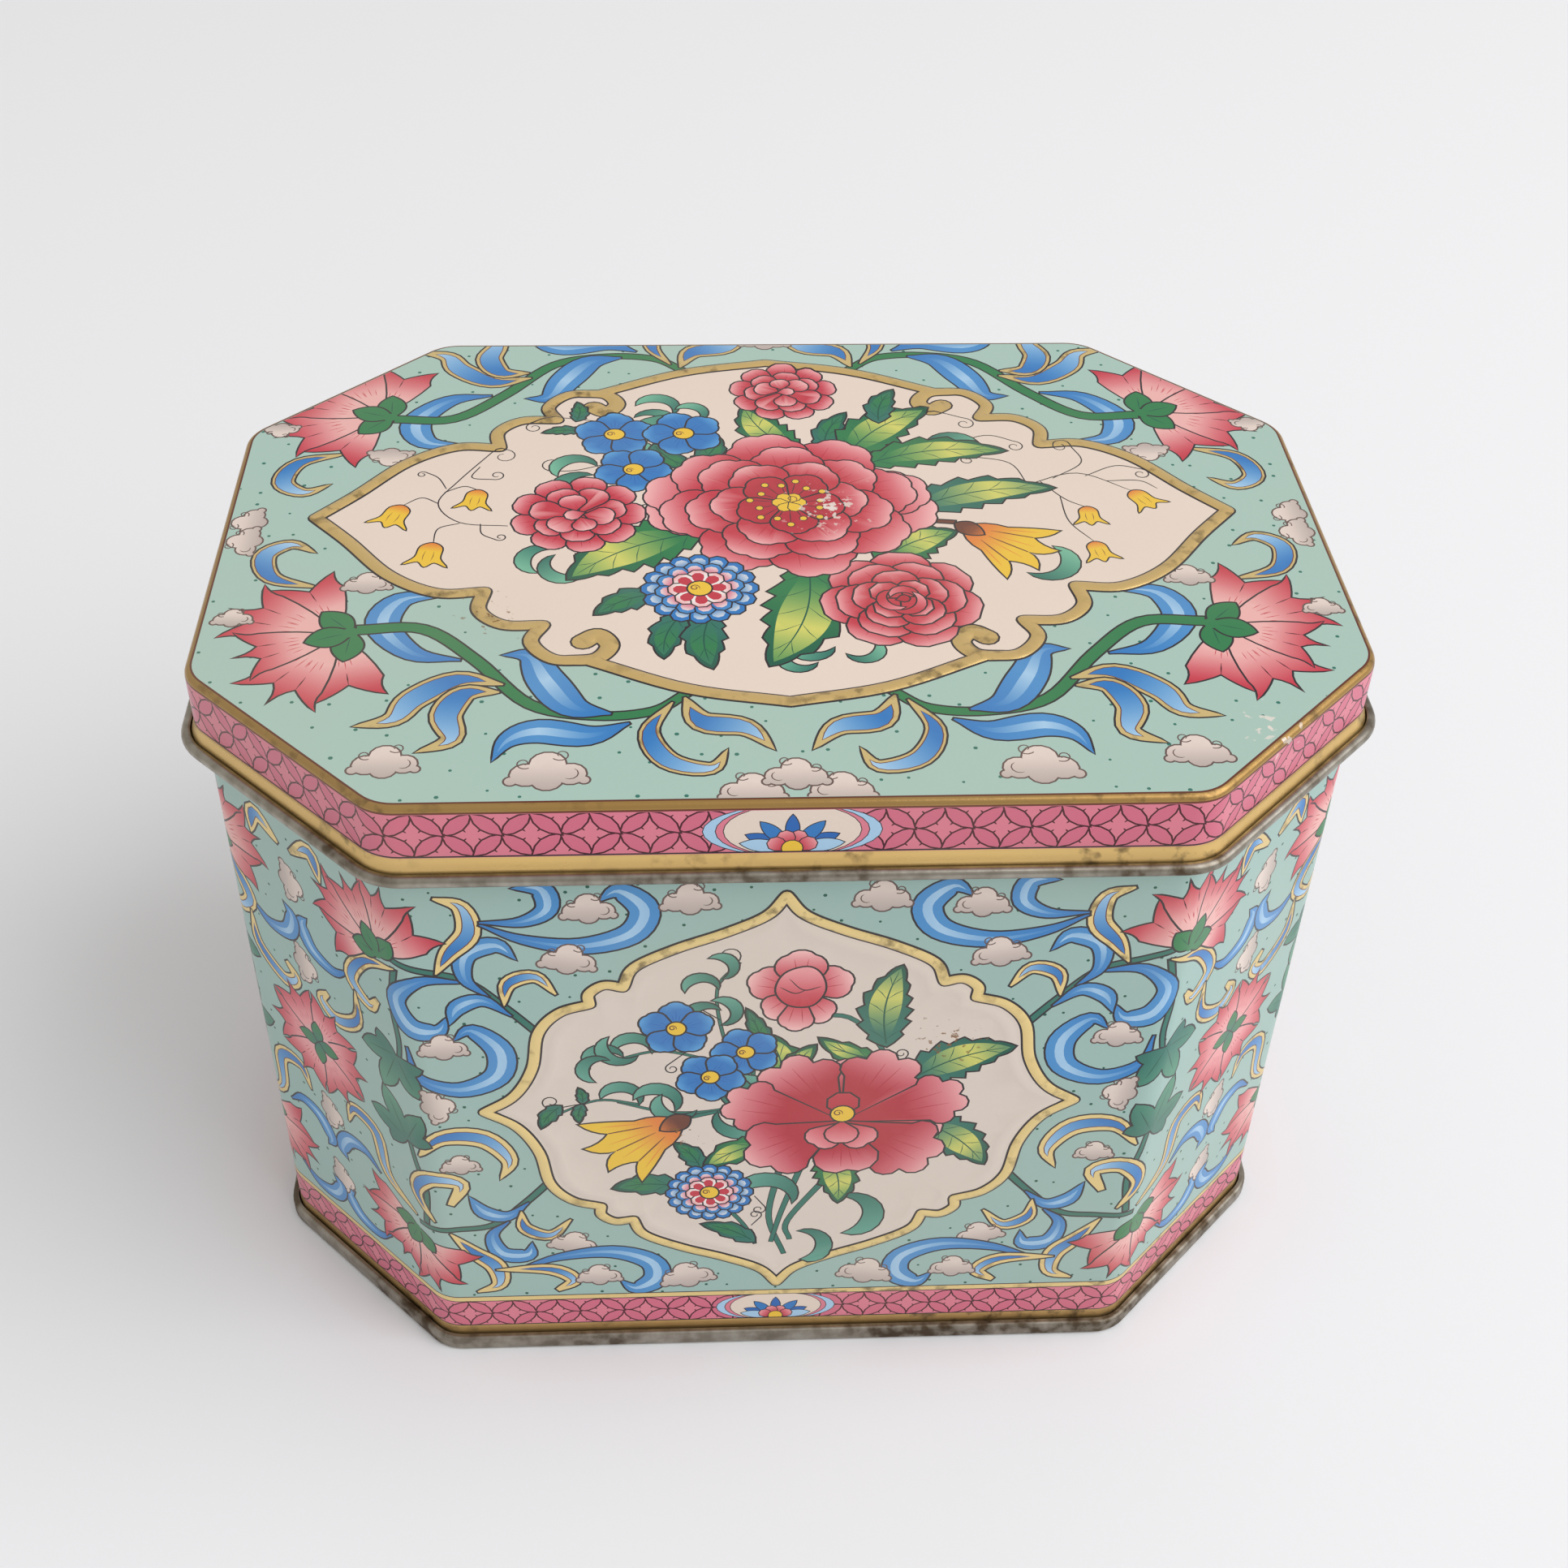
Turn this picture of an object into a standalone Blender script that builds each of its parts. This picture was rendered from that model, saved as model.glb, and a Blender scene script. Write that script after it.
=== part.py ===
"""Octagonal tinplate biscuit tin with a lift-off lid, in metres, +Z up.

The tin is three pressed or rolled sheets. Each one is modelled as a bent sheet: its middle line is
drawn in section, given the sheet's thickness, and swept round the rounded octagon. In section,
u is the distance outwards from the lid's wall and z is the height above the table.
"""

import math

import bmesh
import bpy
from mathutils import Vector

MM = 0.001

# Driving dimensions
LID_LENGTH = 160.0 * MM
LID_WIDTH = 115.5 * MM
TOTAL_HEIGHT = 113.1 * MM
CHAMFER_LEG = 27.4 * MM
CORNER_RADIUS = 7.0 * MM
SHEET = 0.30 * MM
GAP = 0.30 * MM

# Lid: a flat panel, a skirt, a flared foot and a wire-like roll
LID_EDGE_RADIUS = 1.1 * MM
FLARE_TOP = 104.8 * MM
ROLL_RADIUS = 0.86 * MM
ROLL_OUT = 1.2 * MM
ROLL_HEIGHT = 102.0 * MM
ROLL_SWEEP = 300.0

# Body: a rolled wall that stands inside the lid, curled in at the top and hooked out at the foot
BODY_INSET = 1.25 * MM
TOP_CURL_RADIUS = 1.0 * MM
TOP_CURL_SWEEP = 300.0
HOOK_RADIUS = 0.32 * MM
HOOK_LIFT = 1.05 * MM
HOOK_TOP = 1.9 * MM

# Base: a sunken panel whose rim is folded round the body's hook as a double seam
SEAM_HEIGHT = 2.8 * MM
SEAM_OUT = 1.3 * MM
SEAM_RADIUS = 0.45 * MM
SEAM_LIP = 0.40 * MM
PANEL_HEIGHT = 3.15 * MM
PANEL_RADIUS = 0.8 * MM

PANEL_RIM = 2.0 * MM
ARC_STEP = 30.0
CORNER_STEPS = 3
FLARE_STEPS = 4
SMOOTH_ANGLE = math.radians(40)


def arc(centre_u, centre_z, radius, start, end):
    """Points of an arc in section, with angles in degrees and no step over ARC_STEP."""
    steps = max(2, math.ceil(abs(end - start) / ARC_STEP))
    points = []
    for i in range(steps + 1):
        angle = math.radians(start + (end - start) * i / steps)
        points.append((centre_u + radius * math.cos(angle), centre_z + radius * math.sin(angle)))
    return points


def eased(start, end, steps):
    """An S-bend between two points that leaves both of them running up and down."""
    points = []
    for i in range(1, steps):
        share = i / steps
        turn = (1 - math.cos(math.pi * share)) / 2
        points.append((start[0] + (end[0] - start[0]) * turn, start[1] + (end[1] - start[1]) * share))
    return points


def faces_of_sheet(middle):
    """The two faces of the sheet round its middle line: the one on its left, then the one on its right."""
    left = []
    right = []
    for i, point in enumerate(middle):
        here = Vector(point)
        before = here - Vector(middle[i - 1]) if i > 0 else Vector(middle[1]) - here
        after = Vector(middle[i + 1]) - here if i < len(middle) - 1 else before
        before.normalize()
        after.normalize()
        along = (before + after).normalized()
        reach = SHEET / 2 / along.dot(before)
        side = Vector((-along.y, along.x)) * reach
        left.append(here + side)
        right.append(here - side)
    return left, right


def ring_points(u, z):
    """The rounded octagon at distance u outside the lid's wall, anticlockwise from above."""
    inner_x = LID_LENGTH / 2 - CORNER_RADIUS
    inner_y = LID_WIDTH / 2 - CORNER_RADIUS
    # Each corner's centre is a corner of the lid's outline moved in by the corner radius.
    inner_leg = CHAMFER_LEG - CORNER_RADIUS * (2 - math.sqrt(2))
    quarter = [((inner_x, inner_y - inner_leg), 0.0), ((inner_x - inner_leg, inner_y), 45.0)]
    points = []
    for turn in range(4):
        # A quarter turn swaps which way the centres are mirrored and the order they come in.
        flip_x = -1 if turn in (1, 2) else 1
        flip_y = -1 if turn in (2, 3) else 1
        corners = quarter if turn % 2 == 0 else quarter[::-1]
        for centre, start in corners:
            first = start if turn % 2 == 0 else 45.0 - start
            for i in range(CORNER_STEPS + 1):
                angle = math.radians(90.0 * turn + first + 45.0 * i / CORNER_STEPS)
                x = flip_x * centre[0] + (CORNER_RADIUS + u) * math.cos(angle)
                y = flip_y * centre[1] + (CORNER_RADIUS + u) * math.sin(angle)
                points.append(Vector((x, y, z)))
    return points


def sweep_sheet(name, middle, capped):
    """A sheet swept round the octagon. A capped one runs on as a flat panel inside its first ring."""
    left, right = faces_of_sheet(middle)
    mesh = bpy.data.meshes.new(name)
    bm = bmesh.new()
    rings = [[bm.verts.new(point) for point in ring_points(u, z)] for u, z in left + right[::-1]]
    pairs = list(zip(rings, rings[1:]))
    if capped:
        bm.faces.new(rings[0])
        bm.faces.new(rings[-1])
    else:
        pairs.append((rings[-1], rings[0]))
    for lower, upper in pairs:
        for i in range(len(lower)):
            bm.faces.new((lower[i - 1], lower[i], upper[i], upper[i - 1]))
    bmesh.ops.recalc_face_normals(bm, faces=bm.faces)
    bm.to_mesh(mesh)
    bm.free()
    mesh.shade_smooth()
    mesh.set_sharp_from_angle(angle=SMOOTH_ANGLE)
    sheet = bpy.data.objects.new(name, mesh)
    bpy.context.scene.collection.objects.link(sheet)
    return sheet


def painted(sheet, colour, metallic, roughness):
    """Gives the sheet a material of its own."""
    material = bpy.data.materials.new(sheet.name)
    material.use_nodes = True
    shader = material.node_tree.nodes["Principled BSDF"]
    shader.inputs["Base Color"].default_value = (*colour, 1.0)
    shader.inputs["Metallic"].default_value = metallic
    shader.inputs["Roughness"].default_value = roughness
    sheet.data.materials.append(material)


def make_lid():
    """One drawn cap: panel, rounded edge, skirt, flared foot, and an edge rolled outwards and up."""
    half = SHEET / 2
    roll = ROLL_RADIUS - half
    edge_top = TOTAL_HEIGHT - LID_EDGE_RADIUS
    foot = (ROLL_OUT - roll, ROLL_HEIGHT)
    middle = [(-LID_EDGE_RADIUS - PANEL_RIM, TOTAL_HEIGHT - half)]
    middle += arc(-LID_EDGE_RADIUS, edge_top, LID_EDGE_RADIUS - half, 90, 0)
    middle.append((-half, FLARE_TOP))
    middle += eased((-half, FLARE_TOP), foot, FLARE_STEPS)
    middle += arc(ROLL_OUT, ROLL_HEIGHT, roll, 180, 180 + ROLL_SWEEP)
    lid = sweep_sheet("lid_shell", middle, capped=True)
    painted(lid, (0.40, 0.58, 0.51), 0.0, 0.35)
    return lid


def make_body():
    """One sheet wrapped round and joined, its top curled in and its foot hooked out and up."""
    half = SHEET / 2
    wall = -BODY_INSET - half
    curl = TOP_CURL_RADIUS - half
    curl_u = -BODY_INSET - TOP_CURL_RADIUS
    curl_z = TOTAL_HEIGHT - SHEET - GAP - TOP_CURL_RADIUS
    middle = [(wall + 2 * HOOK_RADIUS, HOOK_TOP)]
    middle += arc(wall + HOOK_RADIUS, HOOK_LIFT, HOOK_RADIUS, 360, 180)
    middle += arc(curl_u, curl_z, curl, 0, TOP_CURL_SWEEP)
    body = sweep_sheet("body_wall", middle, capped=False)
    painted(body, (0.32, 0.49, 0.44), 0.0, 0.35)
    return body


def make_base():
    """One drawn plate: sunken panel, a wall up inside the body, and a rim folded round the body's hook."""
    half = SHEET / 2
    seam = SEAM_RADIUS
    inner = -BODY_INSET - SHEET - GAP - half
    outer = SEAM_OUT - BODY_INSET - half
    panel = PANEL_HEIGHT - half - PANEL_RADIUS
    top = SEAM_HEIGHT - half
    middle = [(inner - PANEL_RADIUS - PANEL_RIM, PANEL_HEIGHT - half)]
    middle += arc(inner - PANEL_RADIUS, panel, PANEL_RADIUS, 90, 0)
    middle += arc(inner + seam, half + seam, seam, 180, 270)
    middle += arc(outer - seam, half + seam, seam, 270, 360)
    middle += arc(outer - seam, top - seam, seam, 0, 90)
    middle.append((outer - seam - SEAM_LIP, top))
    base = sweep_sheet("base_plate", middle, capped=True)
    painted(base, (0.55, 0.54, 0.50), 1.0, 0.35)
    return base


def clear_scene():
    for obj in list(bpy.data.objects):
        bpy.data.objects.remove(obj)


clear_scene()
make_lid()
make_body()
make_base()
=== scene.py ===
"""The looks of an octagonal biscuit tin: pressed tinplate sheets and their lithographed print.

Each print is drawn as flat shapes in millimetres, painted one over another, cut into one layer of
triangles with exact edges, and laid on the sheet it belongs to. Points of a print are complex
numbers: x + iy on the lid's panel, and distance round the wall + i height on the skirt and the body.
"""
import math
import random

import bpy
import numpy as np
from mathutils import Matrix, Vector
from mathutils.geometry import delaunay_2d_cdt
from mathutils.kdtree import KDTree


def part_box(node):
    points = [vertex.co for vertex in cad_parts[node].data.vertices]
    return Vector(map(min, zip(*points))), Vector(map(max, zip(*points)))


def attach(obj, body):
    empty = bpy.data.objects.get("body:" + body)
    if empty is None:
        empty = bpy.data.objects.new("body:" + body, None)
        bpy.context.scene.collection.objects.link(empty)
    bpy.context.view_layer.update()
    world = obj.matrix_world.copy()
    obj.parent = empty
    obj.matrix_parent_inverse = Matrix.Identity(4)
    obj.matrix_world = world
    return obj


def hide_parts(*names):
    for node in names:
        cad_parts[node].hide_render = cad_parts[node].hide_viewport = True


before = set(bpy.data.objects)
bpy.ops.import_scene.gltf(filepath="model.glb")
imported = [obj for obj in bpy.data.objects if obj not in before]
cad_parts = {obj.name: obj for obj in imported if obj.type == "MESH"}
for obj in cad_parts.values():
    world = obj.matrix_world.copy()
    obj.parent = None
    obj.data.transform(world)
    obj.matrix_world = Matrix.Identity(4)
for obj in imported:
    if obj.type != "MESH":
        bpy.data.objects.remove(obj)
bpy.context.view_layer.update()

MM = 0.001

# The sheets' sections, in millimetres, as the CAD model has them
SHEET = 0.30
GAP = 0.30
ROLL_RADIUS = 0.86
ROLL_OUT = 1.2
ROLL_HEIGHT = 102.0
ROLL_SWEEP = 300
LID_EDGE_RADIUS = 1.1
FLARE_TOP = 104.8
CHAMFER_LEG = 27.4
CORNER_RADIUS = 7.0
BODY_INSET = 1.25
TOP_CURL_RADIUS = 1.0
HOOK_RADIUS = 0.32
HOOK_LIFT = 1.05
HOOK_TOP = 1.9
SEAM_HEIGHT = 2.8
SEAM_OUT = 1.3
SEAM_RADIUS = 0.45
SEAM_LIP = 0.40
PANEL_HEIGHT = 3.15
PANEL_RADIUS = 0.8

LID_HIGH = np.array(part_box("lid_shell")[1]) / MM
HALF_X = LID_HIGH[0] - ROLL_OUT - ROLL_RADIUS
HALF_Y = LID_HIGH[1] - ROLL_OUT - ROLL_RADIUS
TOP = LID_HIGH[2]
CORNER_STEPS = 6
RING_STEP = 15.0
FLARE_STEPS = 8
ROLL_STEPS = math.ceil(ROLL_SWEEP / RING_STEP)

# Where the wall's prints are cut open: points of the octagon's ring, from the middle of the front
SIDE_SEAM = 40
MIDDLE_OF_BACK = 32
STRIP_HALF = 1.3
STRIP_FOOT = 0.3
STRIP_RISE = 0.2

# The body print's bands, by height, and how far each wall's print stands off the front's middle
FOOT_GOLD_TOP = 4.6
BAND_LOW = 4.75
BAND_HIGH = 10.6
BAND_PINK_TOP = 10.7
BAND_GOLD_TOP = 11.8
BODY_SHIFT = -1.0
SKIRT_SHIFT = -0.6
RIDGE_HEIGHT = 0.3

# Inks, as sRGB
INK = (46, 40, 46)
MAROON = (74, 12, 30)
TEAL = (173, 202, 191)
TEAL_BODY = (162, 193, 186)
CREAM = (236, 219, 205)
CREAM_BODY = (226, 213, 202)
GOLD_BAND = (226, 194, 128)
GOLD_PALE = (236, 210, 146)
PINK = (226, 128, 148)
PINK_DEEP = (216, 110, 136)
CORAL = (200, 56, 74)
CORAL_DEEP = (184, 38, 60)
BLUSH = (243, 164, 168)
PALE = (253, 200, 198)
GREEN = (48, 128, 78)
GREEN_DEEP = (28, 92, 74)
GREEN_SEA = (52, 118, 104)
LIME = (222, 218, 112)
YELLOW = (243, 200, 62)
ORANGE = (232, 132, 62)
BROWN = (112, 62, 48)
BLUE = (48, 124, 196)
BLUE_DEEP = (36, 104, 184)
BLUE_SOFT = (80, 150, 210)
BLUE_PALE = (172, 210, 240)
WHITE = (246, 240, 236)
CLOUD = (232, 216, 206)
CLOUD_DARK = (190, 176, 170)
CLOUD_INK = (104, 84, 80)
SILVER = (196, 192, 182)
TIN = (172, 160, 134)
LINE = 0.3

# The paint's alpha: 0 for ink, up to 1 for bare tinplate
GOLD_INK = 0.6


# Curves and outlines -------------------------------------------------------------------------


def turned(degrees):
    return complex(math.cos(math.radians(degrees)), math.sin(math.radians(degrees)))


def smooth(knots, closed=False, steps=5):
    """A curve through the knots, with this many steps from each to the next."""
    knots = np.asarray(knots, complex)
    if closed:
        ring = np.concatenate([knots[-1:], knots, knots[:2]])
    else:
        ring = np.concatenate([[2 * knots[0] - knots[1]], knots, [2 * knots[-1] - knots[-2]]])
    t = np.arange(steps) / steps
    spans = []
    for a, b, c, d in zip(ring, ring[1:], ring[2:], ring[3:]):
        cubic = (3 * b - a - 3 * c + d) * t**3
        spans.append(0.5 * (2 * b + (c - a) * t + (2 * a - 5 * b + 4 * c - d) * t**2 + cubic))
    if not closed:
        spans.append(knots[-1:])
    return np.concatenate(spans)


def arc(centre, radius, start, end, steps=12):
    angles = np.radians(np.linspace(start, end, steps + 1))
    return centre + radius * np.exp(1j * angles)


def circle(centre, radius, steps=14):
    return arc(centre, radius, 0, 360, steps)[:-1]


def curled(path, radius, turns, hand):
    """The path with a spiral wound onto its end, to the left for hand 1 and to the right for -1."""
    ahead = path[-1] - path[-2]
    spoke = -1j * hand * ahead / abs(ahead) * radius
    share = np.linspace(0, 1, math.ceil(turns * 14) + 1)[1:]
    spiral = spoke * np.exp(1j * hand * share * turns * math.tau) * (1 - 0.72 * share)
    return np.concatenate([path, path[-1] - spoke + spiral])


def bowed(start, end, bulge, steps=4):
    """A curve from start up to end that bows to the right by a share of its length."""
    t = np.arange(steps) / steps
    middle = (start + end) / 2 - 1j * bulge * 2 * (end - start)
    return start * (1 - t) ** 2 + 2 * middle * t * (1 - t) + end * t**2


def distinct(outline, least=2e-3):
    """The outline without points that fall on the one before."""
    kept = [outline[0]]
    for point in outline[1:]:
        if abs(point - kept[-1]) > least:
            kept.append(point)
    if len(kept) > 1 and abs(kept[-1] - kept[0]) <= least:
        kept.pop()
    return np.array(kept)


def ribbon(path, half):
    """The outline of a stroke along the path, with these half widths."""
    along = np.gradient(path)
    side = 1j * along / np.maximum(np.abs(along), 1e-9) * half
    return np.concatenate([path + side, (path - side)[::-1]])


def swelling(count, peak=0.5, blunt=0.8, start=0.0, end=0.0):
    """Half widths from start to end of a stroke that is 1 at its peak."""
    t = np.linspace(0, 1, count)
    bent = np.where(t < peak, t / peak, 1 + (t - peak) / (1 - peak)) / 2
    ends = np.where(t < peak, start, end)
    return ends + (1 - ends) * np.sin(math.pi * bent) ** blunt


def area_of(outline):
    return 0.5 * float(np.sum((np.conj(outline) * np.roll(outline, -1)).imag))


def anticlockwise(outline):
    return outline[::-1] if area_of(outline) < 0 else outline


def grown(outline, by):
    """An anticlockwise outline moved outwards, with mitred corners."""
    before = outline - np.roll(outline, 1)
    after = np.roll(outline, -1) - outline
    first = -1j * before / np.abs(before)
    second = -1j * after / np.abs(after)
    facing = (first * np.conj(second)).real
    return outline + by * (first + second) / np.maximum(1 + facing, 0.45)


def clipped(outline, window):
    """The outline cut to a convex anticlockwise window, or None where nothing is left."""
    edges = np.roll(window, -1) - window
    inside = (np.conj(edges)[:, None] * (outline[None, :] - window[:, None])).imag
    for corner in np.flatnonzero((inside < 0).any(axis=1)):
        depth = (np.conj(edges[corner]) * (outline - window[corner])).imag
        kept = []
        for i, point in enumerate(outline):
            last, was = outline[i - 1], depth[i - 1]
            if (depth[i] < 0) != (was < 0):
                kept.append(last + (point - last) * was / (was - depth[i]))
            if depth[i] >= 0:
                kept.append(point)
        if len(kept) < 3:
            return None
        outline = np.array(kept)
    outline = distinct(outline)
    return outline if len(outline) > 2 and abs(area_of(outline)) > 1e-3 else None


# The print ------------------------------------------------------------------------------------


class Print:
    """Shapes painted in order on a flat, convex sheet, with fold lines that only add points."""

    def __init__(self, edge, window, ground):
        self.window = window
        self.shapes = [edge]
        self.tones = [(ground, ground, 0j, 1 + 0j, 1)]
        self.metals = [0.0]
        self.folds = []
        self.ridges = []

    def add(self, outline, tone, metal):
        outline = clipped(anticlockwise(distinct(outline)), self.window)
        if outline is not None:
            self.shapes.append(outline)
            self.tones.append(tone)
            self.metals.append(metal)

    def cut(self):
        """(points, triangles, colours of each corner): one layer, each triangle in its topmost tone."""
        given = np.concatenate(self.shapes + self.folds)
        edges = []
        at = 0
        for k, line in enumerate(self.shapes + self.folds):
            edges += [(at + i, at + i + 1) for i in range(len(line) - 1)]
            if k < len(self.shapes):
                edges.append((at + len(line) - 1, at))
            at += len(line)
        places = [Vector((p.real, p.imag)) for p in given]
        made = delaunay_2d_cdt(places, edges, [], 0, 1e-5, True)
        points = [given[was[0]] if was else complex(*p) for p, was in zip(made[0], made[3])]
        points = np.array(points)
        triangles = np.array(made[2])
        owners = self.topmost(points[triangles].mean(axis=1))
        triangles, owners = triangles[owners >= 0], owners[owners >= 0]
        first, last = (np.array([tone[k] for tone in self.tones], float)[owners] for k in (0, 1))
        start, end, top = (np.array([tone[k] for tone in self.tones])[owners, None] for k in (2, 3, 4))
        reach = np.conj(end - start)
        share = ((points[triangles] - start) * reach).real / np.abs(reach) ** 2
        share = (1 - np.abs(1 - np.clip(share, 0, top)))[..., None]
        colour = first[:, None] * (1 - share) + last[:, None] * share
        metal = np.array(self.metals)[owners, None, None] * np.ones((1, 3, 1))
        paint = np.concatenate([colour, metal], axis=2)
        return points, triangles, paint

    def topmost(self, spots):
        """The number of the last shape over each spot, or -1 where there is none."""
        order = np.argsort(spots.real)
        spots = spots[order]
        owners = np.full(len(spots), -1)
        for k, shape in enumerate(self.shapes):
            first, last = np.searchsorted(spots.real, (shape.real.min(), shape.real.max()))
            within = np.arange(first, last)
            heights = spots[within].imag
            within = within[(heights > shape.imag.min()) & (heights < shape.imag.max())]
            here = spots[within, None]
            low, high = shape[None, :], np.roll(shape, -1)[None, :]
            left = (np.conj(high - low) * (here - low)).imag
            up = (low.imag <= here.imag) & (high.imag > here.imag) & (left > 0)
            down = (low.imag > here.imag) & (high.imag <= here.imag) & (left < 0)
            owners[within[up.sum(axis=1) != down.sum(axis=1)]] = k
        found = np.empty_like(owners)
        found[order] = owners
        return found


class Pen:
    """Draws on a print from a place of its own: its points are scaled, turned, moved, maybe mirrored."""

    def __init__(self, sheet, origin=0j, turn=1 + 0j, mirrored=False):
        self.sheet = sheet
        self.origin = origin
        self.turn = turn
        self.mirrored = mirrored

    def at(self, origin=0j, size=1.0, angle=0.0, mirror=False):
        turn = size * turned(angle)
        if self.mirrored:
            origin, turn, mirror = np.conj(origin), np.conj(turn), not mirror
        return Pen(self.sheet, self.origin + self.turn * origin, self.turn * turn, mirror)

    def place(self, points):
        points = np.asarray(points, complex)
        return self.origin + self.turn * (np.conj(points) if self.mirrored else points)

    def fill(self, outline, tone, line=0.0, ink=INK, metal=0.0):
        """Paints an outline.

        A tone is one colour, or (first, last, start, end) for a blend from start to end. A fifth
        number, 2, runs the blend back again as far beyond the end.
        """
        outline = anticlockwise(distinct(self.place(outline)))
        if len(outline) < 3:
            return
        if line:
            self.sheet.add(grown(outline, line), (ink, ink, 0j, 1 + 0j, 1), 0.0)
        if len(tone) > 3:
            start, end = self.place(tone[2:4])
            tone = (*tone[:2], start, end, *(tone[4:] or (1,)))
        else:
            tone = (tone, tone, 0j, 1 + 0j, 1)
        self.sheet.add(outline, tone, metal)

    def stroke(self, path, width, ink=INK, start=0.25, end=0.25):
        """A thin line of ink, width in millimetres, tapered at its ends."""
        half = width / 2 / abs(self.turn) * swelling(len(path), 0.4, 0.5, start, end)
        self.fill(ribbon(np.asarray(path, complex), half), ink)


# Motifs. Each grows from 0 along the real axis to about 1, and a pen sizes and turns it. --------


def petal_outline(length, width, lobes, depth=0.1):
    """A petal whose round end is scalloped into lobes."""
    radius = width / 2
    across = np.linspace(-1, 1, lobes * 5 + 1)
    dip = 1 - np.abs(np.sin(math.pi * lobes * (across + 1) / 2)) ** 0.7
    end = (length - radius) + radius * np.exp(1j * np.radians(105 * across)) * (1 - depth * dip)
    return np.concatenate([[0.0], end])


def blade_outline(length, width, bend=0.0, peak=0.45):
    """A pointed leaf or petal, bent to the left by a share of its length."""
    path = smooth([0, length * complex(0.5, bend), length], steps=7)
    return ribbon(path, width / 2 * swelling(len(path), peak))


def petals(pen, count, length, width, lobes, tone, turn=0.0, line=LINE, streaks=0):
    """A ring of petals, each over the one before."""
    for k in range(count):
        own = pen.at(angle=turn + 360 * k / count)
        own.fill(petal_outline(length, width, lobes), (*tone, 0.7 * length, 1.04 * length), line)
        for i in range(streaks):
            lean = turned((i - (streaks - 1) / 2) * 9)
            own.stroke(np.linspace(0.5, 0.86 - 0.05 * (i % 2), 4) * length * lean, 0.12, CORAL_DEEP)


def heart_of(pen, size):
    """A round flower centre with a spiral in it."""
    pen.fill(circle(0, size, 16), YELLOW, LINE * 0.9)
    pen.stroke(curled(np.array([-0.1j, 0.12j]) * size, 0.42 * size, 1.3, 1), 0.2, BROWN)


def peony(pen):
    tone = (CORAL, PALE)
    for angle, length in ((-9, 1.14), (9, 1.1), (189, 1.1), (171, 1.12)):
        pen.at(angle=angle).fill(petal_outline(length, 0.6, 4), (*tone, 0.7, 1.14), LINE)
    petals(pen, 8, 1.0, 0.66, 4, tone, 12, streaks=3)
    petals(pen, 7, 0.80, 0.58, 4, tone, 38, streaks=3)
    petals(pen, 6, 0.60, 0.50, 3, tone, 5, streaks=2)
    petals(pen, 5, 0.42, 0.36, 3, (CORAL_DEEP, CORAL), 60)
    for k in range(15):
        spoke = turned(24 * k + 6)
        reach = 0.30 if k % 2 else 0.24
        pen.stroke(np.linspace(0.1, reach, 3) * spoke, 0.16)
        pen.fill(circle(reach * spoke, 0.026, 8), YELLOW, 0.14)
    petals(pen, 6, 0.13, 0.11, 1, (YELLOW, YELLOW), 0, 0.16)
    pen.stroke(curled(np.array([-0.02, 0.02]), 0.05, 1.1, 1), 0.16, BROWN)


def rose(pen):
    tone = (CORAL, PALE)
    petals(pen, 7, 1.0, 0.78, 2, tone, 20, streaks=2)
    petals(pen, 6, 0.80, 0.70, 2, tone, 50, streaks=1)
    petals(pen, 5, 0.60, 0.58, 2, tone, 10)
    petals(pen, 4, 0.42, 0.44, 1, tone, 35)
    for k in range(3):
        own = pen.at(angle=120 * k + 40)
        path = arc(0.05, 0.16 + 0.03 * k, -60, 120, 10)
        own.fill(ribbon(path, 0.06 * swelling(len(path))), (CORAL, BLUSH, 0.2, 0.25j), LINE * 0.8)
    pen.fill(petal_outline(0.16, 0.14, 1) - 0.06, CORAL_DEEP, LINE * 0.8)


def tufted(pen):
    """A round many-petalled bloom seen from the front, with a folded heart."""
    tone = (CORAL, PALE)
    petals(pen, 9, 1.0, 0.56, 2, tone, 0, streaks=2)
    petals(pen, 7, 0.72, 0.50, 2, tone, 20, streaks=1)
    for angle, size in ((150, 0.5), (30, 0.5), (265, 0.46), (90, 0.4)):
        own = pen.at(0.1 * turned(angle), size, angle)
        own.fill(petal_outline(0.9, 0.9, 2), (*tone, 0.3, 0.9), LINE * 0.9)
    pen.fill(petal_outline(0.3, 0.26, 1) - 0.1, (*tone, -0.1, 0.2), LINE * 0.9)


def bluet(pen):
    petals(pen, 5, 1.0, 0.9, 3, (BLUE, (98, 172, 228)), 90)
    for k in range(5):
        for lean in (-12, 0, 12):
            ray = turned(90 + 72 * k + lean)
            pen.stroke(np.linspace(0.25, 0.55 if lean else 0.7, 3) * ray, 0.15, BLUE_DEEP)
    heart_of(pen, 0.24)


def daisy(pen):
    petals(pen, 16, 1.0, 0.37, 1, (BLUE, BLUE), 0, LINE * 0.9)
    petals(pen, 16, 0.90, 0.26, 1, (BLUE, WHITE), 0, 0.0)
    petals(pen, 12, 0.76, 0.36, 1, (BLUE, BLUE_SOFT), 8, LINE * 0.8)
    petals(pen, 12, 0.68, 0.26, 1, (PINK_DEEP, WHITE), 8, 0.0)
    petals(pen, 8, 0.54, 0.38, 1, (WHITE, BLUSH), 4, LINE * 0.8)
    petals(pen, 8, 0.46, 0.24, 1, (CORAL, CORAL), 4, 0.0)
    heart_of(pen, 0.2)


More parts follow.
